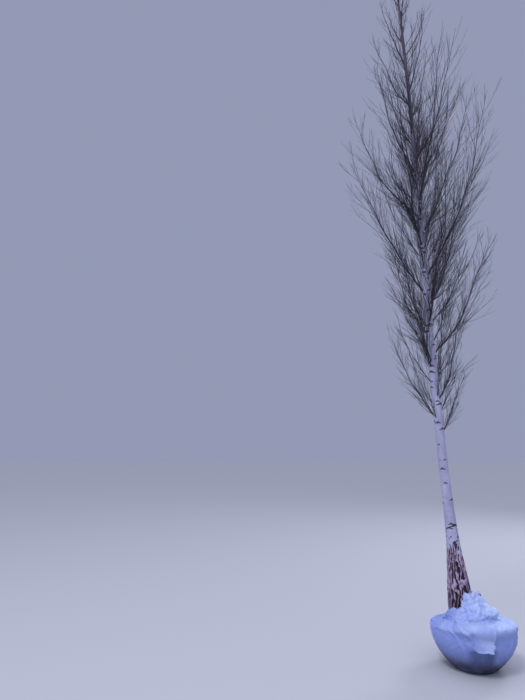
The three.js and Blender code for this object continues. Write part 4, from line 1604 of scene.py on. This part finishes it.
loose = smooth(flap_across, *COMES_LOOSE) * (1 - smooth(flap_up, *LIES_DOWN))
lifted = LIFT_SHARES[0] + LIFT_SHARES[1] * (1 - flap_up)
lift = FLAP_LIFT * loose * lifted - FLAP_SUNK * (1 - loose)
curl = HEM_CURL * np.maximum(0, 1 - flap_up / CURL_HEIGHT) ** 2
lift += curl * smooth(flap_across, *CURL_STARTS)
ribs = RIB_DEPTH * np.sin(2 * np.pi * flap_turn * BALL_RADIUS / RIB_SPACING)
lift += ribs * smooth(flap_across, *RIBS_START)
lift += FLAP_WAVE * noise_at(flap, (14, 14, 9), 2) * loose
lift += FLAP_CRUMPLE * (1 - 2 * np.abs(noise_at(flap, (40, 40, 30), 3)))
flap = flap + flap_outward * lift[:, None]
print("the flap hangs", round(float(lift.max()) * 1000, 1), "mm clear of the ball at most")

# %% [markdown]
# ## Woven plastic
# The cloth is woven from flat plastic tapes two or three millimetres wide, with a dull shine. Its weave
# runs round and up the ball, so the pattern follows the cloth's own coordinates. Low down it is painted
# darker, for wet and mud and for shade, and the hollows of the folds get painted shade.

# %% Woven plastic
TAPE_WIDTH = 0.0026
LOOSE_CLOTH = ((0.38, 0.48, 0.86), (0.52, 0.63, 0.99))
TAUT_CLOTH = (0.26, 0.34, 0.77)
TAUT_SHARE = 0.85
WET_AND_SHADED_CLOTH = (0.12, 0.14, 0.32)
STAIN_AND_SHADOW_CLOTH = (0.055, 0.085, 0.24)
MUD_AND_SHADE_CLOTH = (0.018, 0.015, 0.036)
SPECK_COLOUR = (0.28, 0.24, 0.24)
FOLD_SHADE_COLOUR = (0.44, 0.45, 0.54)


def woven_plastic():
    sack = Finish("woven_plastic", (0.68, 0.72, 0.86), 0.46, 0.5)
    place = sack.node("TexCoord").outputs["Object"]
    weave = sack.attribute("weave", "Vector")
    across = sack.node("SeparateXYZ", {0: weave})
    waves = math.pi / TAPE_WIDTH
    warp = sack.math("SINE", sack.math("MULTIPLY", across.outputs["X"], waves))
    weft = sack.math("SINE", sack.math("MULTIPLY", across.outputs["Y"], waves))
    checks = sack.math("MULTIPLY", warp, weft)
    clouds = sack.noise(place, 7.0)
    colour = sack.mix(sack.between(clouds, 0.3, 0.7), *LOOSE_CLOTH)
    height = sack.node("SeparateXYZ", {0: place}).outputs["Z"]
    damp = sack.noise(place, 12.0, 5.0)
    taut = sack.math("MULTIPLY", sack.attribute("taut"), TAUT_SHARE)
    colour = sack.mix(taut, colour, TAUT_CLOTH)

    # Painted darker low down, for wet cloth and for shade; under the flap a stain with the flap's painted
    # shadow; and mud with painted shade where the sack stands
    low_down = sack.between(height, 0.06, 0.22, 0.80, 0.0)
    wet_and_shade = sack.math("MULTIPLY", low_down, sack.between(damp, 0.2, 0.6, 0.5))
    colour = sack.mix(wet_and_shade, colour, WET_AND_SHADED_CLOTH)
    stain_and_shadow = sack.math("MULTIPLY", sack.attribute("stain_and_shadow"), sack.between(damp, 0.3, 0.6, 0.6, 0.85))
    colour = sack.mix(stain_and_shadow, colour, STAIN_AND_SHADOW_CLOTH)
    at_foot = sack.between(height, 0.04, 0.13, 1.0, 0.0)
    mud_and_shade = sack.math("MULTIPLY", at_foot, sack.between(damp, 0.3, 0.65, 0.6))
    colour = sack.mix(mud_and_shade, colour, MUD_AND_SHADE_CLOTH)
    specks = sack.between(sack.cells(place, 46.0), 0.06, 0.12, 0.55, 0.0)
    colour = sack.mix(specks, colour, SPECK_COLOUR)
    # Painted shade in the hollows of the folds, and on the flap where it lies down on the ball
    hollow = sack.between(sack.attribute("fold"), -0.008, -0.001, 0.35, 0.0)
    colour = sack.mix(hollow, colour, FOLD_SHADE_COLOUR)
    relief = sack.bump(checks, 0.0004)
    return sack.finish(colour, sack.between(clouds, 0.3, 0.7, 0.40, 0.52), relief)


# %% [markdown]
# ## The cloth's pieces
# Both sheets are still without thickness. They could be given a second skin by hand; the solidify
# modifier does it in one step, inwards, so that the outside stays where the folds put it. The mesh also
# gets what the material asks for: the place in the weave, the folds, the stain with the flap's painted
# shadow, and how taut it is.

# %% The sack and its flap as pieces
CLOTH_THICKNESS = 0.0016
FLAP_TAUT_UNTIL = (0.05, 0.75)

cloth_material = woven_plastic()


def thickened(piece):
    thicken = piece.modifiers.new("thickness", "SOLIDIFY")
    thicken.thickness = CLOTH_THICKNESS
    thicken.offset = -1


middle = np.array([[BALL_SHIFT_X, BALL_SHIFT_Y, 0.0]])
sack_triangles = np.concatenate([
    grid_triangles(len(profile), SACK_COLUMNS),
    fan(0, SACK_COLUMNS, len(cloth), last_ring=False),
])
sack_mesh = mesh_of("woven_sack", np.concatenate([cloth, middle]), sack_triangles)
weave_place = np.stack([turn_of * BALL_RADIUS, run_up[row_of], np.zeros(len(cloth))], -1)
add_values(sack_mesh, "weave", np.concatenate([weave_place, middle]))
add_values(sack_mesh, "fold", np.append(folds, 0))
add_values(sack_mesh, "stain_and_shadow", np.append(stain_and_shadow_share, 0))
add_values(sack_mesh, "taut", np.append(taut, 1))
thickened(place_piece(sack_mesh, ["sack"], [cloth_material]))

flap_mesh = mesh_of("sack_flap", flap, grid_triangles(FLAP_ROWS, FLAP_COLUMNS, closed=False))
flap_weave = np.stack([flap_turn * BALL_RADIUS, flap_run, np.zeros(len(flap))], -1)
add_values(flap_mesh, "weave", flap_weave)
# On the flap this height also says where it lies down, which gets painted shade in the material
add_values(flap_mesh, "fold", lift - FLAP_LIFT / 2)
flap_taut = (1 - smooth(flap_across, *FLAP_TAUT_UNTIL)) * (1 - smooth(flap_mound, *TAUT_BELOW))
add_values(flap_mesh, "taut", flap_taut)
thickened(place_piece(flap_mesh, ["sack"], [cloth_material]))

# %% [markdown]
# ## The soil
# Only a little of the soil shows, dark and crumbly, in the gap between the cloth and the foot of the
# trunk. A flat disc would be enough for the eye, but the soil fills the sack, so it is one lump with the
# ball's own outline, a little smaller, with crumbs on its level top.

# %% The soil
SOIL_EASE = 0.004
SOIL_TOP_RADIUS = 0.097
SOIL_COLUMNS = 140
SOIL_FOOT_ROWS = 6
SOIL_SIDE_ROWS = 44
SOIL_TOP_ROWS = 40
SOIL_INSET = SACK_WALL + SOIL_EASE + 0.004
SIDE_ENDS_BELOW = 0.004
TOP_LIES_BELOW = 0.002
CRUMB_SIZE = 0.006

soil_side = ball_outline(SOIL_INSET, SOIL_SIDE_ROWS)
soil_side = soil_side[soil_side[:, 1] < SOIL_TOP - SIDE_ENDS_BELOW]
soil_foot_radius = np.linspace(INNER_RING, soil_side[0, 0], SOIL_FOOT_ROWS, endpoint=False)
soil_top_radius = np.linspace(SOIL_TOP_RADIUS, INNER_RING, SOIL_TOP_ROWS)
soil_side[0, 1] = SACK_WALL
soil_profile = np.concatenate([
    np.stack([soil_foot_radius, np.full(SOIL_FOOT_ROWS, SACK_WALL)], -1),
    soil_side,
    np.stack([soil_top_radius, np.full(SOIL_TOP_ROWS, SOIL_TOP - TOP_LIES_BELOW)], -1),
])
soil_turns = 2 * np.pi * np.arange(SOIL_COLUMNS) / SOIL_COLUMNS
soil_row, soil_turn = every_pair(np.arange(len(soil_profile)), soil_turns)
soil_radius, soil_z = soil_profile[soil_row].T
soil_points = shape_cloth(soil_radius, soil_z, soil_turn, 0.0)
soil_mound = mound_share(soil_z + SOIL_INSET)
soil_points = slumped(soil_points, soil_mound, soil_turn, SLUMP + SOIL_SLUMPS_MORE)
crumbs = CRUMB_SIZE * noise_at(soil_points, 45.0, 4) - CRUMB_SIZE / 2
soil_points[:, 2] += np.where(soil_z > SOIL_TOP - SIDE_ENDS_BELOW, crumbs, 0)
soil_ends = np.array([[BALL_SHIFT_X, BALL_SHIFT_Y, SACK_WALL], [THROAT_X, 0, SOIL_TOP - SIDE_ENDS_BELOW]])
soil_triangles = np.concatenate([
    grid_triangles(len(soil_profile), SOIL_COLUMNS),
    fan(0, SOIL_COLUMNS, len(soil_points), last_ring=False),
    fan((len(soil_profile) - 1) * SOIL_COLUMNS, SOIL_COLUMNS, len(soil_points) + 1, last_ring=True),
])
soil_mesh = mesh_of("soil", np.concatenate([soil_points, soil_ends]), soil_triangles)

# %% Damp soil, with painted shade in the hollows between its lumps
DARK_SOIL = (0.030, 0.019, 0.015)
PALE_SOIL = (0.115, 0.078, 0.058)


def damp_soil():
    soil = Finish("damp_soil", (0.07, 0.045, 0.035), 0.95, 0.2)
    place = soil.node("TexCoord").outputs["Object"]
    lumps = soil.noise(place, 60.0, 6.0, 0.65)
    # The same noise is the bump: its low parts get the dark colour, as painted shade in the hollows
    colour = soil.mix(lumps, DARK_SOIL, PALE_SOIL)
    return soil.finish(colour, normal=soil.bump(lumps, 0.006))


place_piece(soil_mesh, ["soil_ball"], [damp_soil()])

# %% [markdown]
# ## The box of the frame and of the pieces
# The finer pieces should stay in the box of the plain solids, apart from a little cloth and twig.
# Both boxes are printed.

# %% The box of the frame and of the pieces
visual_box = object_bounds()
for name, box in (("solids", cad_box), ("pieces", visual_box)):
    print(name, [[round(value, 3) for value in corner] for corner in box])
